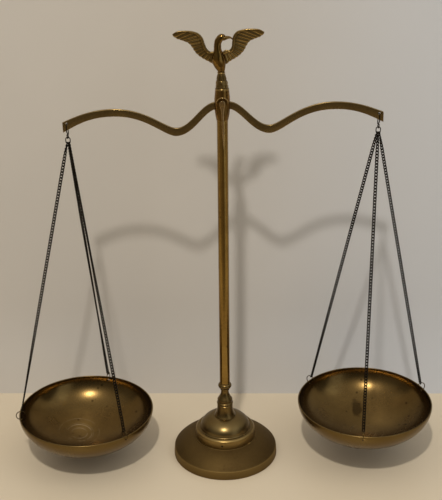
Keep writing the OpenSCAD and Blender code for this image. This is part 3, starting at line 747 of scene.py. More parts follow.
class SCALE_OT_base(bpy.types.Operator):
    """Base plate, riser, screw and felt pad"""

    bl_idname = "scale.base"
    bl_label = "Base"

    def execute(self, context):
        segments = 200
        profile = base_plate_profile()
        # Painted highlight: a thin bright line along the rim's edge, and a little lightening of the outer face,
        # carried in the hollow attribute.
        rim = np.hypot(profile[:, 0] - plate_high[0] + RIM_INSET, profile[:, 1] - RIM_TOP)
        face = (profile[:, 0] > plate_high[0] - RIM_INSET - 0.05) & (profile[:, 1] < RIM_TOP + 0.1)
        lightening = np.maximum(np.exp(-(rim / 0.8) ** 2), 0.22 * face)
        lightening = np.broadcast_to(lightening, (segments, len(profile)))
        make_piece("plate", [(lathe(profile, segments), (True, True), 0, lightening)], [finish("plate_brass")],
                   "stand", ["base_plate"])
        aim = turned_about(np.array([1.0, 0, 0]), SCREW_ANGLE)
        height = np.array([0, 0, riser_low[2] + SCREW_UP])
        hole = drill(aim * (riser_high[0] - 5) + height, aim * (riser_high[0] + 2) + height, SCREW_RADIUS)
        profile = riser_profile()
        # The band is made lighter than the dome.
        lightening = 0.75 * (profile[:, 1] < riser_low[2] + BAND_TOP + 0.3)
        lightening = np.broadcast_to(lightening, (segments, len(profile)))
        make_piece("riser_turning", [(lathe(profile, segments), (True, True), 0, lightening)],
                   [finish("band_brass")], "stand", ["riser"], cuts=[hole])
        dress("grub_screw", finish("hook_metal"))
        dress("base_pad", felt_finish())
        for node in ("tie_rod", "tie_washer", "tie_nut", "finial_stud"):
            dress(node, finish("fitting_brass"))
        return {"FINISHED"}


class SCALE_OT_column(bpy.types.Operator):
    """Baluster, collar and column"""

    bl_idname = "scale.column"
    bl_label = "Column"

    def execute(self, context):
        brass_finish = finish("turned_brass")
        make_piece("baluster_turning", [(lathe(baluster_profile(), 96), (True, True))], [brass_finish],
                   "stand", ["baluster"])
        make_piece("collar_turning", [(lathe(collar_profile(), 80), (True, True))], [brass_finish],
                   "stand", ["column_collar"])
        r, low, high = column_high[0], column_low[2], column_high[2]
        z = np.linspace(low, high, 60)
        outside = np.stack([r + 0.025 * np.sin(z * 0.11) * np.sin(z * 0.037), z], -1)
        tube = np.concatenate([outside, [[4.0, high], [4.0, low]]])
        make_piece("column_tube", [(lathe(tube, 72), (True, True))], [finish("column_brass")],
                   "stand", ["column"])
        return {"FINISHED"}


class SCALE_OT_yoke(bpy.types.Operator):
    """Yoke with its beam slot and arched window, and a bright bead round the arch that paints its highlight"""

    bl_idname = "scale.yoke"
    bl_label = "Yoke"

    def execute(self, context):
        z = PIVOT_Z
        knots = [column_high[2], z - 11, z - 5, z + 1, z + 5, z + 10, YOKE_TOP]
        radii = [6.1, 7.3, 8.05, 8.2, 8.05, 7.6, 7.05]
        up = np.linspace(knots[0], knots[-1], 40)
        side = np.stack([smooth(up, knots, radii), up], -1)
        profile = np.concatenate([[[0.01, up[0]]], side, [[0.01, up[-1]]]])
        spring, front, deep = z + WINDOW_UP, -12, -5.6
        cuts = [
            drill([0, front, spring], [0, deep, spring], WINDOW_RADIUS, 48),
            slot_cut([-WINDOW_RADIUS, front, z - 20], [WINDOW_RADIUS, deep, spring]),
            slot_cut([-12, -1.65, z - 7.2], [12, 1.65, z + 4.2]),
        ]
        make_piece("yoke_head", [(lathe(profile, 96), (True, True))], [finish("yoke_brass")],
                   "stand", ["yoke"], cuts=cuts, sharp=34)
        # Bright bead round the window's arch: a painted highlight along the arch's edge, in the pointer's pale
        # brass.
        a = np.linspace(0, math.pi, 33)
        lip = WINDOW_RADIUS + 0.25
        arch = np.stack([lip * np.cos(a), 0 * a, spring + lip * np.sin(a)], -1)
        reach = smooth(arch[:, 2], knots, radii)
        arch[:, 1] = -np.sqrt(np.maximum(reach**2 - arch[:, 0] ** 2, 1.0)) + 0.12
        make_piece("window_lip_highlight", [(carry(arch, circle(0.42, 10), (0, 1, 0), cap=0.42), (False, True))],
                   [finish("pointer_brass")], "stand")
        return {"FINISHED"}


# ---------------------------------------------------------------- finial

def tail_grid(z0):
    """Carved tail cone: a straight taper with eight leaves near its neck and a ring of bosses, each a wave
    round the axis that fades in and out along the height."""
    u = np.linspace(0, TAU, 144, endpoint=False)[:, None]
    t = np.linspace(0, 1, 60)[None]
    radius = TAIL_FOOT + (TAIL_NECK - TAIL_FOOT) * t + 0.25 * np.sin(np.pi * t)
    leaf = np.exp(-((t - 0.76) / 0.17) ** 4) * (np.abs(np.cos(4 * u)) ** 0.7 - 0.5) * 0.55
    boss = np.exp(-((t - 0.42) / 0.10) ** 2) * np.cos(4 * u) ** 2 * 0.35
    groove = (-0.3 * np.exp(-((t - 0.57) / 0.03) ** 2) - 0.5 * np.exp(-((t - 0.11) / 0.03) ** 2)
              - 0.2 * np.exp(-((t - 0.27) / 0.03) ** 2))
    lip = 0.25 * np.exp(-((t - 0.04) / 0.03) ** 2)
    radius = radius + leaf + boss + groove + lip
    body = np.stack([radius * np.cos(u), radius * np.sin(u), z0 + TAIL_HEIGHT * t + 0 * u], -1)
    centre = np.zeros((len(u), 1, 3))
    # Painted shade: these values darken the grooves and the gaps between the leaves, and a little the whole
    # band of leaves.
    hollow = np.clip(-2.4 * (leaf + groove) + 0.3 * np.exp(-((t - 0.76) / 0.17) ** 4), 0, 1)
    hollow = np.concatenate([hollow[:, :1], hollow, hollow[:, -1:]], 1)
    return np.concatenate([centre + [0, 0, z0], body, centre + [0, 0, z0 + TAIL_HEIGHT]], 1), hollow


def bird_body_grid(z0):
    """Bird's body, neck and head as one form: level ellipses whose centre, width and depth are smooth curves
    of the height above the tail."""
    z = [0, 0.8, 2.0, 4.5, 8.0, 11.5, 14.5, 17.5, 20.5, 23.6, 27.2, 30.6, 32.6, 34.4, 35.9, 37.4, 38.6, 39.5,
         39.9]
    mid = [0.2, 0.2, 0.1, -0.5, -1.2, -1.6, -1.8, -1.8, -1.9, -2.2, -2.2, -1.7, -0.9, 0.3, 1.5, 2.2, 2.5, 2.6,
           2.6]
    wide = [3.3, 3.6, 3.6, 4.8, 6.1, 6.8, 6.9, 6.2, 5.1, 4.0, 3.7, 3.7, 4.1, 4.6, 4.7, 4.2, 3.2, 1.6, 0.0]
    deep = [3.3, 3.6, 3.3, 3.9, 5.0, 5.7, 6.0, 5.7, 4.9, 4.0, 3.6, 3.4, 3.4, 3.5, 3.5, 3.2, 2.5, 1.3, 0.0]
    t = np.concatenate([[0], np.linspace(0, 1, 90) ** 0.96]) * z[-1]
    c, a, b = (smooth(t, z, v) for v in (mid, wide, deep))
    a[0] = b[0] = 0.0
    a, b = np.maximum(a, 0), np.maximum(b, 0)
    a[-1] = b[-1] = 0.0
    u = np.linspace(0, TAU, 56, endpoint=False)[:, None]
    keel = 0.35 * np.exp(-(((t - 14.0) / 6.0) ** 2)) * np.exp(-((np.cos(u) + 0.1) / 0.25) ** 2)
    return np.stack([c + a * np.cos(u), (b + keel) * np.sin(u), z0 + t + 0 * u], -1)


def wing_grid(z0, hand, feathers):
    """Wing: each row runs from the rolled leading edge to a point further out on the trailing edge. Feathers
    are rounded ribs between sharp furrows, deeper towards the trailing edge, which they scallop."""
    lead = [(1.5, 20.0), (6.3, 22.4), (8.9, 22.1), (12.4, 25.1), (14.3, 30.3), (15.9, 36.0), (19.3, 40.4),
            (26.0, 43.0), (34.0, 43.6), (40.5, 42.9), (44.8, 40.6)]
    trail = [(2.0, 5.5), (5.7, 7.6), (9.5, 10.6), (15.4, 14.0), (20.3, 17.5), (24.0, 21.6), (26.5, 26.1),
             (29.8, 30.5), (35.6, 33.4), (41.5, 35.9), (44.9, 39.0)]
    if hand > 0:
        lead[3:8] = [(x - pull, y) for (x, y), pull in zip(lead[3:8], (0.8, 1.8, 2.2, 2.2, 1.2))]
    s = np.linspace(0, 1, 14 * feathers)
    reach = 1 - (1 - s) ** 2.3
    number = reach * feathers
    rib = np.sqrt(np.maximum(1 - (2 * (number % 1) - 1) ** 2, 0))
    p, q = smooth_path(lead, s), smooth_path(trail, reach)
    out = q - p
    chord = np.linalg.norm(out, axis=1, keepdims=True)
    q = q + out / np.maximum(chord, 0.5) * (rib[:, None] - 0.6) * np.minimum(0.75, chord * 0.2)
    chord = np.linalg.norm(q - p, axis=1)
    count = 26
    t = (1 - np.cos(np.linspace(0, math.pi, count))) / 2
    flat = p[:, None] * (1 - t)[None, :, None] + q[:, None] * t[None, :, None]
    away = chord[:, None] * t[None]
    roll = 1.75 - 0.55 * s[:, None]
    bulge = np.sqrt(np.maximum(roll**2 - (away - roll) ** 2, 0))
    blade = (0.85 - 0.45 * t[None]) * (1 - 0.35 * s[:, None])
    blade = blade + 0.8 * (rib[:, None] - 0.45) * np.clip((away - roll * 0.8) / 2.5, 0, 1)
    half = np.maximum(np.where(away < 2 * roll, np.maximum(bulge, blade), blade), 0.12)
    half = half * np.sqrt(np.clip(1 - t[None] ** 14, 0, 1)) * np.minimum(1, away / 0.25)
    half *= np.clip((1 - s[:, None]) / 0.012, 0, 1) ** 0.5
    camber = -2.2 * s[:, None] ** 1.5 + 1.6 * t[None] * (1 - s[:, None])
    x = hand * flat[..., 0]
    z = z0 + flat[..., 1]
    front = np.stack([x, camber - half, z], -1)
    back = np.stack([x, camber + half, z], -1)[:, ::-1]
    loop = np.concatenate([front, back[:, 1:-1]], 1)
    root = np.repeat(loop[:1].mean(1, keepdims=True), loop.shape[1], 1)
    # Painted shade: these values darken the furrows between the feathers and a line behind the rolled leading
    # edge.
    furrow = np.clip(1.15 - 1.5 * rib[:, None], 0, 1) * np.clip((away - 1.9 * roll) / 1.5, 0, 1)
    furrow = np.maximum(furrow, 0.7 * np.exp(-((away - 2.15 * roll) / 0.55) ** 2))
    furrow = np.concatenate([furrow, furrow[:, ::-1][:, 1:-1]], 1)
    return np.concatenate([root, loop], 0), np.concatenate([furrow[:1], furrow], 0)


def leaned(points):
    """Points sheared to the left in step with their height above the yoke, which keeps the foot flush."""
    height = points[..., 2] - YOKE_TOP
    return points - np.stack([FINIAL_LEAN * height, 0 * height, 0 * height], -1)


class SCALE_OT_finial(bpy.types.Operator):
    """Tail cone and bird with raised wings"""

    bl_idname = "scale.finial"
    bl_label = "Finial"

    def execute(self, context):
        z = YOKE_TOP + TAIL_HEIGHT - 0.4
        bird, wing = finish("bird_brass"), finish("wing_brass")
        t = np.linspace(0, 1, 24)
        beak = smooth_path([(3.6, 35.1), (7.2, 35.9), (10.2, 36.1), (12.1, 35.3), (12.9, 33.9)], t)
        path = np.stack([beak[:, 0], 0 * t, z + beak[:, 1]], -1)
        thick = smooth(t, [0, 0.3, 0.55, 0.8, 1.0], [3.2, 2.7, 1.9, 1.2, 0.4])
        section = circle(1.0, 20)[None] * np.stack([thick * 0.72, thick], -1)[:, None]
        cone, cone_hollow = tail_grid(YOKE_TOP)
        parts = [
            (cone, (True, False), 1, cone_hollow),
            (bird_body_grid(z), (True, False), 0),
            (carry(path, section, (0, 1, 0.02), cap=0.3), (False, True), 0),
        ]
        for hand, lift in ((-1, 0.0), (1, WING_LIFT)):
            blade, furrow = wing_grid(z + lift, hand, sizes().feathers)
            blade[..., 0] *= 1.03 if hand < 0 else 1.0
            parts.append((blade, (False, True), 1, furrow))
        for front in (-1, 1):
            eye = ball((4.6, front * 2.95, z + 36.1), (0.75, 0.5, 0.75), 10, 16)
            parts.append((eye, (True, False), 0))
        path = np.concatenate([3.25 * circle(1.0, 48), np.full((48, 1), z + 0.5)], 1)
        ring = carry(path, circle(0.75, 12), (0, 0, 1), closed=True)
        parts.append((ring, (True, True), 1))
        parts = [(leaned(grid), *rest) for grid, *rest in parts]
        make_piece("bird_and_tail", parts, [bird, wing], "stand", ["eagle_finial"], sharp=50)
        return {"FINISHED"}


# ---------------------------------------------------------------- beam

def beam_edges(count=70):
    """Top and bottom edge of one arm over evenly spaced x: the centreline is three Bezier stretches, and the
    edges stand half the bar's depth away, square to it."""
    end, drop = ARM_END, -HOLE_DROP - 3.9
    runs = [
        ([(6, -1.5), (20, -1.5), (31, -28.1), (48, -28.1)], 7.8, 8.6),
        ([(48, -28.1), (60, -28.1), (78, -5.5), (113, -5.5)], 8.6, 7.9),
        ([(113, -5.5), (135, -5.5), (end - 15, drop + 7.2), (end, drop)], 7.9, 9.8),
    ]
    t = np.linspace(0, 1, count)
    middle = [bezier(p, t) for p, _, _ in runs]
    depth = [a + (b - a) * t - 3.6 * t * (1 - t) for _, a, b in runs]
    middle, depth = np.concatenate(middle), np.concatenate(depth)
    keep = np.concatenate([[True], np.linalg.norm(np.diff(middle, axis=0), axis=1) > 1e-6])
    middle, depth = middle[keep], depth[keep]
    last = middle[-1] - middle[-2]
    past = middle[-1] + last / np.linalg.norm(last) * 6
    middle, depth = np.concatenate([middle, [past]]), np.append(depth, depth[-1])
    along = np.gradient(middle, axis=0)
    across = np.stack([-along[:, 1], along[:, 0]], -1) / np.linalg.norm(along, axis=1, keepdims=True)
    top, bottom = middle + across * depth[:, None] / 2, middle - across * depth[:, None] / 2
    x = np.concatenate([[0], np.linspace(6, end - 0.4, 190), [end - 0.12, end]])
    return x, np.interp(x, top[:, 0], top[:, 1]), np.interp(x, bottom[:, 0], bottom[:, 1])


def beam_grid(thick, easing):
    """Beam bar: at each x a plumb section between the two edges, a rectangle with eased corners."""
    x, top, bottom = (np.concatenate([v[::-1] * sign, v[1:]]) for v, sign in zip(beam_edges(), (-1, 1, 1)))
    a = np.radians(np.linspace(0, 90, 5))
    flat = thick / 2 - easing
    loop = np.concatenate([
        np.stack([sy * flat + easing * np.cos(a + turn), np.full(5, sz), easing * np.sin(a + turn)], -1)
        for sy, sz, turn in ((1, 1, 0), (-1, 1, math.pi / 2), (-1, -1, math.pi), (1, -1, 1.5 * math.pi))])
    level = np.where(loop[:, 1] > 0, top[:, None] - easing, bottom[:, None] + easing) + loop[:, 2]
    shrink = np.ones(len(x))
    shrink[[0, -1]] = 0.90
    mid = (top + bottom)[:, None] / 2
    level = mid + (level - mid) * shrink[:, None]
    return np.stack([x[:, None] + 0 * level, loop[:, 0] * shrink[:, None], PIVOT_Z + level], -1)


def pointer_grid():
    """Pointer: a lens section down a spine, wide in its teardrop head and narrow in its blade."""
    t = (1 - np.cos(np.linspace(0, math.pi, 60))) / 2
    z = 5.1 - 51.7 * t**1.25
    knots = [-46.6, -40, -25, -12, -9, -5, -1.5, 1.2, 2.6, 4.0, 4.8, 5.1]
    width = [0.15, 0.5, 1.15, 1.25, 1.35, 1.75, 2.55, 3.05, 3.0, 2.3, 1.2, 0.0]
    w = np.maximum(smooth(z, knots, width), 0.0)
    u = np.linspace(0, TAU, 24, endpoint=False)
    lens = np.sign(np.sin(u)) * np.abs(np.sin(u)) ** 0.55
    y = -6.8 + 0.6 * lens[None] * np.minimum(1, w / 0.5)[:, None]
    return np.stack([w[:, None] * np.cos(u), y, PIVOT_Z + z[:, None] + 0 * y], -1)


class SCALE_OT_beam(bpy.types.Operator):
    """Beam, pivot pin, nut and pointer"""

    bl_idname = "scale.beam"
    bl_label = "Beam"

    def execute(self, context):
        tilt = -math.degrees(TILT)
        centre = (0, 0, PIVOT_Z)
        bar = turned_about(beam_grid(BEAM_THICK, sizes().bar_round), tilt, centre, "y")
        first, last = (end.mean(1, keepdims=True) + 0 * end for end in (bar[:1], bar[-1:]))
        bar = np.concatenate([first, bar, last])
        holes = [drill(hole + [0, -4, 0], hole + [0, 4, 0], HOLE_RADIUS, 24) for hole in end_hole.values()]
        make_piece("beam_bar", [(bar, (False, True))], [finish("beam_brass")],
                   "beam", ["beam"], cuts=holes)
        blade = turned_about(pointer_grid(), tilt, centre, "y")
        make_piece("pointer_blade", [(blade, (False, True))], [finish("pointer_brass")],
                   "beam", ["pointer"], sharp=60)
        dress("pivot_pin", finish("pointer_brass"))
        dress("pivot_nut", finish("fitting_brass"))
        return {"FINISHED"}


# ---------------------------------------------------------------- hanging parts

def hook_path():
    """S-hook in its own plane, from the free end: down the back, over the hole's wire, down the front and
    across to the low bend."""
    eye, bend = 2.2, 1.6
    low = -15.8 + bend
    free = np.linspace([eye, -12.1], [eye, -2.4], 8)
    over = arc((0, -eye), eye, 0, 180, 22)
    front = np.linspace([-eye, -2.6], [-eye, -7.2], 5)
    slant = bezier([(-eye, -7.7), (-eye, -9.5), (bend, low + 2.4), (bend, low)], np.linspace(0, 1, 14))
    under = arc((0, low), bend, 0, -180, 16)[1:]
    tip = np.linspace([-bend, low + 0.5], [-bend, low + 2.6], 4)
    flat = np.concatenate([free, over, front, slant, under, tip])
    return np.stack([0 * flat[:, 0], flat[:, 0], flat[:, 1]], -1)


def jump_ring_path():
    """Oval ring in the XZ plane."""
    half, middle = (JUMP_LOW - JUMP_TOP) / 2 - JUMP_RADIUS, -(JUMP_LOW + JUMP_TOP) / 2
    upper = arc((0, middle + half), JUMP_RADIUS, 0, 180, 20)
    lower = arc((0, middle - half), JUMP_RADIUS, 180, 360, 20)
    flat = np.concatenate([upper, lower])
    return np.stack([flat[:, 0], 0 * flat[:, 0], flat[:, 1]], -1)


def pan_radius(depth, inset=0.0):
    """Radius of a pan at a depth below its rim: a superellipse of power 1.9."""
    r, d = PAN_RADIUS - inset, PAN_DEPTH - inset
    return r * np.maximum(0, 1 - (np.asarray(depth, float) / d) ** PAN_POWER) ** (1 / PAN_POWER)


def rim_hole(angle):
    """Middle of the hole in a pan's wall at an angle, from the beam's end hole."""
    a = math.radians(angle)
    r = float(pan_radius(RIM_HOLE_DROP)) - 0.5
    return np.array([r * math.cos(a), r * math.sin(a), -PAN_HANG - RIM_HOLE_DROP])


def chain_line(k, angle):
    """Where a chain starts on the jump ring, and the unit direction from the rim hole up to it."""
    a = math.radians((k - 1) * JUMP_STEP)
    top = np.array([JUMP_RADIUS * math.sin(a), 0, -JUMP_LOW + JUMP_RADIUS * (1 - math.cos(a))])
    up = top - rim_hole(angle)
    return top, up / np.linalg.norm(up)


def chain_grids(k, angle, turns):
    """Curb chain: every link is the loop (A cos t, B sin t, C sin 2t), whose twist lets it lie flat through
    its neighbours, set at even steps down the chain's line and turned slowly about it."""
    s = sizes()
    top, up = chain_line(k, angle)
    low = rim_hole(angle) + up * 2 * RIM_RING
    half = (s.link_pitch + s.link_wire) / 2
    length = np.linalg.norm(top - low)
    first = half - (s.link_wire + JUMP_WIRE) / 2 - WIRE_GAP
    last = length - half + (s.link_wire + s.ring_wire) / 2 + WIRE_GAP
    count = int(round((last - first) / s.link_pitch)) + 1
    share = np.linspace(0, 1, count)
    t = np.linspace(0, TAU, 14, endpoint=False)
    loop = np.stack([half * np.cos(t), (s.link_width - s.link_wire) / 2 * np.sin(t), 0.5 * np.sin(2 * t)], -1)
    tube = carry(loop, circle(s.link_wire / 2, 6), (0, 0, 1), closed=True)
    x_axis = np.cross(up, [0, 1, 0])
    x_axis /= np.linalg.norm(x_axis)
    y_axis = np.cross(up, x_axis)
    turn = np.radians(np.interp(share, turns[0], turns[1]))[:, None]
    wide = x_axis * np.cos(turn) + y_axis * np.sin(turn)
    thick = np.cross(-up, wide)
    place = top - up * (first + (last - first) * share)[:, None]
    links = (place[:, None, None] + tube[None, ..., :1] * -up + tube[None, ..., 1:2] * wide[:, None, None]
             + tube[None, ..., 2:] * thick[:, None, None])
    return [(link, (True, True)) for link in links]


def ring_grid(k, angle):
    """Round wire ring through the rim hole, in the plane of its chain."""
    _, up = chain_line(k, angle)
    inward = np.array([up[0], up[1], 0])
    inward /= np.linalg.norm(inward)
    normal = np.cross(inward, [0, 0, 1])
    side = np.cross(normal, up)
    r = RIM_RING
    a = np.linspace(0, TAU, 48, endpoint=False)[:, None]
    centre = rim_hole(angle) + up * r
    path = centre + r * (np.cos(a) * up + np.sin(a) * side)
    return carry(path, circle(sizes().ring_wire / 2, 12), normal, closed=True)


def pan_grid(side):
    """Pan: inner and outer superellipse joined by a rolled rim. Returns the grid and which faces are inside."""
    wall, n = sizes().pan_wall, 64
    t = 1 - np.linspace(0, 1, n)
    inner_depth = (PAN_DEPTH - wall) * (1 - (1 - t) ** 1.8)
    outer_depth = PAN_DEPTH * (1 - (1 - t[::-1]) ** 1.8)
    inner = np.stack([pan_radius(inner_depth, wall), -inner_depth], -1)
    outer = np.stack([pan_radius(outer_depth), -outer_depth], -1)
    rim = arc((PAN_RADIUS - RIM_BEAD, 0), RIM_BEAD, 165, 0, 12)
    profile = np.concatenate([inner[:-1], rim, outer[1:]])
    profile[0, 0] = profile[-1, 0] = 0.0
    segments = 192
    grid = lathe(profile, segments)
    inside = np.broadcast_to(np.arange(len(profile) - 1) < n + 3, (segments, len(profile) - 1))
    return grid + end_hole[side] + [0, 0, -PAN_HANG], np.where(inside, 0, 1).reshape(-1)


class SCALE_OT_hangers(bpy.types.Operator):
    """S-hooks, jump rings and rim rings"""

    bl_idname = "scale.hangers"
    bl_label = "Hooks and rings"

    def execute(self, context):
        for side, hand in SIDES.items():
            path = turned_about(hook_path(), hand * HOOK_TURN)
            plane = turned_about(np.array([1.0, 0, 0]), hand * HOOK_TURN)
            hook = carry(path, circle(HOOK_WIRE / 2, 12), plane, cap=HOOK_WIRE / 2) + end_hole[side]
            make_piece(side + "_s_hook", [(hook, (False, True))], [finish("hook_metal")],
                       side + "_hook", [side + "_hook"], sharp=60)
            ring = carry(jump_ring_path(), circle(JUMP_WIRE / 2, 12), (0, 1, 0), closed=True) + end_hole[side]
            make_piece(side + "_oval_ring", [(ring, (True, True))], [finish("hook_metal")],
                       side + "_ring", [side + "_jump_ring"], sharp=60)
            for k, angle in enumerate(RIM_ANGLES[side]):
                ring = ring_grid(k, angle) + end_hole[side]
                make_piece(f"{side}_round_ring_{k + 1}", [(ring, (True, True))], [finish("rim_ring_metal")],
                           side + "_pan", [f"{side}_rim_ring_{k + 1}"], sharp=60)
        return {"FINISHED"}


# Turn of each chain's flat side, in degrees, at shares of its length from the top
CHAIN_TURNS = {
    "left": (([0, 0.06, 0.55, 1], [90, 180, 195, 280]), ([0, 0.3, 0.7, 1], [90, 60, 100, 160]),
             ([0, 0.4, 0.8, 1], [90, 80, 20, 40])),
    "right": (([0, 0.06, 0.5, 1], [90, 165, 185, 231]), ([0, 0.06, 0.15, 1], [90, 155, 180, 180]),
              ([0, 0.06, 0.6, 1], [90, 15, 0, -55])),
}


class SCALE_OT_chains(bpy.types.Operator):
    """Three curb chains to each pan"""

    bl_idname = "scale.chains"
    bl_label = "Chains"

    def execute(self, context):
        for side in SIDES:
            for k, angle in enumerate(RIM_ANGLES[side]):
                grids = chain_grids(k, angle, CHAIN_TURNS[side][k])
                links = [(grid + end_hole[side], wrap) for grid, wrap in grids]
                make_piece(f"{side}_curb_chain_{k + 1}", links, [finish("chain_metal")],
                           side + "_pan", [f"{side}_chain_{k + 1}"], sharp=60)
        return {"FINISHED"}


class SCALE_OT_pans(bpy.types.Operator):
    """Left and right pan"""

    bl_idname = "scale.pans"
    bl_label = "Pans"

    def execute(self, context):
        for side in SIDES:
            grid, inside = pan_grid(side)
            holes = []
            for angle in RIM_ANGLES[side]:
                centre = rim_hole(angle) + end_hole[side]
                out = turned_about(np.array([1.0, 0, 0]), angle)
                holes.append(drill(centre - out * 5, centre + out * 5, RIM_HOLE_RADIUS, 20))
            make_piece(side + "_bowl", [(grid, (True, False), inside)],
                       [finish(side + "_pan_inside"), finish(side + "_pan_outside")],
                       side + "_pan", [side + "_pan"], cuts=holes, sharp=35)
        return {"FINISHED"}


# ---------------------------------------------------------------- stage

# In metres: the wall stands behind the scale, slightly turned, and its foot curves back a little
STAGE_HALF, FLOOR_Z = 3, -0.0001
WALL_Y, WALL_TURN, WALL_HEIGHT = 0.128, 0.0207, 2.4
FOOT_HEIGHT, FOOT_DEPTH = 0.12, 0.0105
CAMERA_PLACE = (-0.0028, -1.0712, 0.7232)
CAMERA_DOWN, CAMERA_ROLL = 23.56, -0.0103


def stage_finish(name, colour, rough, one_sided=False, table_edge=None):
    """Painted stage surface with faint mottling. The wall shows from its front only, and carries painted
    daylight: it grows lighter and bluer towards its right. Past the table's edge the table shows only to the
    camera and to soft light, so polished parts reflect the room there."""
    material = bpy.data.materials.new(name)
    material.use_nodes = True
    tree = material.node_tree
    shader = tree.nodes["Principled BSDF"]
    shader.inputs["Roughness"].default_value = rough
    w = Wiring(tree)
    place = w.add("TexCoord").outputs["Object"]
    cloud = w.add("TexNoise", Vector=place, Scale=4.0, Detail=3.0)
    paint = w.mix(w.span(cloud.outputs[0], 0.3, 0.7), rgba(colour, 0.975), rgba(colour, 1.02))
    if one_sided:
        # Painted daylight: the wall grows lighter and bluer towards its right.
        across = w.span(w.add("SeparateXYZ", i0=place).outputs[0], -0.1, 0.32)
        paint = w.mix(across, paint, rgba(np.array(colour) * (1.02, 1.12, 1.30)))
    tree.links.new(paint, shader.inputs["Base Color"])
    if one_sided:
        clear = w.add("BsdfTransparent")
        back = w.add("NewGeometry").outputs["Backfacing"]
        blend = w.add("MixShader", i0=back, i1=shader.outputs[0], i2=clear)
        tree.links.new(blend, tree.nodes["Material Output"].inputs["Surface"])
    if table_edge is not None:
        clear = w.add("BsdfTransparent")
        past = w.math("LESS_THAN", w.add("SeparateXYZ", i0=place).outputs[1], table_edge)
        glossy = w.math("MULTIPLY", past, w.add("LightPath").outputs["Is Glossy Ray"])
        blend = w.add("MixShader", i0=glossy, i1=shader.outputs[0], i2=clear)
        tree.links.new(blend, tree.nodes["Material Output"].inputs["Surface"])
    return material


def panel(name, left, right, material):
    """Stage panel: straight faces between a left and a right line of points."""
    grid = np.array([left, right])
    faces = grid_faces(grid.shape[:2], (False, False), 0)
    mesh = bpy.data.meshes.new(name)
    mesh.from_pydata(grid.reshape(-1, 3).tolist(), [], faces.tolist())
    mesh.polygons.foreach_set("use_smooth", np.ones(len(mesh.polygons), bool))
    mesh.materials.append(material)
    item = bpy.data.objects.new(name, mesh)
    bpy.context.scene.collection.objects.link(item)


def lamp(name, place, target, size, power, colour):
    """Round soft lamp that faces a point."""
    data = bpy.data.lights.new(name, "AREA")
    data.shape, data.size, data.energy, data.color = "DISK", size, power, colour
    item = bpy.data.objects.new(name, data)
    bpy.context.scene.collection.objects.link(item)
    item.location = place
    away = np.asarray(place, float) - np.asarray(target, float)
    pitch = math.atan2(math.hypot(away[0], away[1]), away[2])
    item.rotation_euler = (pitch, 0, math.atan2(away[0], -away[1]))


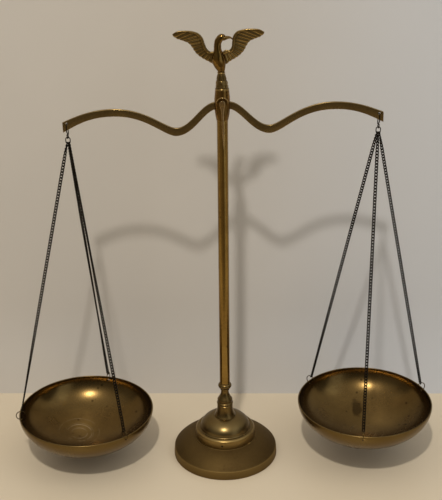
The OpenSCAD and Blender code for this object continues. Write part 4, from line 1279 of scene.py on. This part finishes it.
class SCALE_OT_stage(bpy.types.Operator):
    """Table, wall, lamp and camera"""

    bl_idname = "scale.stage"
    bl_label = "Stage"

    def execute(self, context):
        c = colours()
        near, far = WALL_Y - STAGE_HALF * WALL_TURN, WALL_Y + STAGE_HALF * WALL_TURN
        left, right = ([(x, -STAGE_HALF, FLOOR_Z), (x, STAGE_HALF, FLOOR_Z)] for x in (-STAGE_HALF, STAGE_HALF))
        panel("table", left, right, stage_finish("table_top", c.floor, 0.42, table_edge=-0.39))
        up = np.append(np.linspace(FLOOR_Z, FOOT_HEIGHT, 19), WALL_HEIGHT)
        back = FOOT_DEPTH * np.sin(math.pi / 2 * np.minimum(up / FOOT_HEIGHT, 1))
        left = np.stack([0 * up - STAGE_HALF, far + back, up], -1)
        right = np.stack([0 * up + STAGE_HALF, near + back, up], -1)
        panel("wall", left, right, stage_finish("wall_paint", c.wall, 0.42, one_sided=True))
        lamp("key", (-0.25, -1.67, 2.64), (0, 0, 0.25), 0.14, 42.0, (1.0, 0.95, 0.88))
        world = bpy.data.worlds.new("room")
        context.scene.world = world
        world.use_nodes = True
        tree = world.node_tree
        back = tree.nodes["Background"]
        w = Wiring(tree)
        way = w.add("SeparateXYZ", i0=w.add("TexCoord").outputs["Generated"])
        front = w.span(way.outputs[1], 0.1, -0.2)
        window = w.math("MULTIPLY", w.span(way.outputs[0], 0.46, 0.54), w.span(way.outputs[0], 0.84, 0.76))
        window = w.math("MULTIPLY", w.math("MULTIPLY", window, front), w.span(way.outputs[2], -0.45, -0.35))
        lit_side = w.math("MULTIPLY", w.span(way.outputs[0], -0.15, -0.5), front)
        ceiling = w.span(way.outputs[2], 0.38, 0.92, 0.10, 0.62)
        level = w.math("ADD", ceiling, w.math("MULTIPLY", lit_side, 0.10))
        level = w.math("ADD", level, w.span(way.outputs[2], -0.15, -0.38, 0.0, 0.11))
        level = w.math("MULTIPLY_ADD", window, 0.55, level)
        tint = w.mix(w.span(way.outputs[2], -0.25, 0.35), (1.0, 0.80, 0.55, 1), (1.0, 0.95, 0.87, 1))
        tint = w.mix(window, tint, (0.92, 0.96, 1.0, 1))
        rays = w.add("LightPath").outputs
        seen = rays["Is Camera Ray"]
        level = w.math("MULTIPLY", level, w.math("MULTIPLY_ADD", rays["Is Glossy Ray"], -0.62, 1.62))
        tree.links.new(w.mix(seen, tint, (1.0, 0.95, 0.87, 1)), back.inputs["Color"])
        strength = w.math("MULTIPLY_ADD", seen, w.math("SUBTRACT", 0.5, level), level)
        tree.links.new(strength, back.inputs["Strength"])
        view = bpy.data.cameras.new("camera")
        view.lens, view.sensor_width, view.clip_end = 78.02, 36.0, 20.0
        camera = bpy.data.objects.new("camera", view)
        context.scene.collection.objects.link(camera)
        camera.location = CAMERA_PLACE
        camera.rotation_mode = "QUATERNION"
        pitch = Quaternion((1, 0, 0), math.radians(90 - CAMERA_DOWN))
        camera.rotation_quaternion = pitch @ Quaternion((0, 0, 1), CAMERA_ROLL)
        context.scene.camera = camera
        context.scene.view_settings.view_transform = "Standard"
        return {"FINISHED"}


# ---------------------------------------------------------------- add-on

PARTS = (SCALE_OT_stage, SCALE_OT_base, SCALE_OT_column, SCALE_OT_yoke, SCALE_OT_finial, SCALE_OT_beam,
         SCALE_OT_hangers, SCALE_OT_chains, SCALE_OT_pans)


class SCALE_PT_parts(bpy.types.Panel):
    """Buttons for each part of the scale, and its sizes and colours"""

    bl_idname = "SCALE_PT_parts"
    bl_label = "Beam scale"
    bl_space_type = "VIEW_3D"
    bl_region_type = "UI"
    bl_category = "Scale"

    def draw(self, context):
        for part in PARTS:
            self.layout.operator(part.bl_idname)
        for group in (context.scene.scale_sizes, context.scene.scale_colours):
            for name in group.__annotations__:
                self.layout.prop(group, name)


CLASSES = (ScaleSizes, ScaleColours) + PARTS + (SCALE_PT_parts,)


def register():
    for item in CLASSES:
        bpy.utils.register_class(item)
    bpy.types.Scene.scale_sizes = bpy.props.PointerProperty(type=ScaleSizes)
    bpy.types.Scene.scale_colours = bpy.props.PointerProperty(type=ScaleColours)


def unregister():
    del bpy.types.Scene.scale_sizes, bpy.types.Scene.scale_colours
    for item in reversed(CLASSES):
        bpy.utils.unregister_class(item)


def main():
    register()
    for part in PARTS:
        group, name = part.bl_idname.split(".")
        getattr(getattr(bpy.ops, group), name)()


if __name__ == "__main__":
    main()
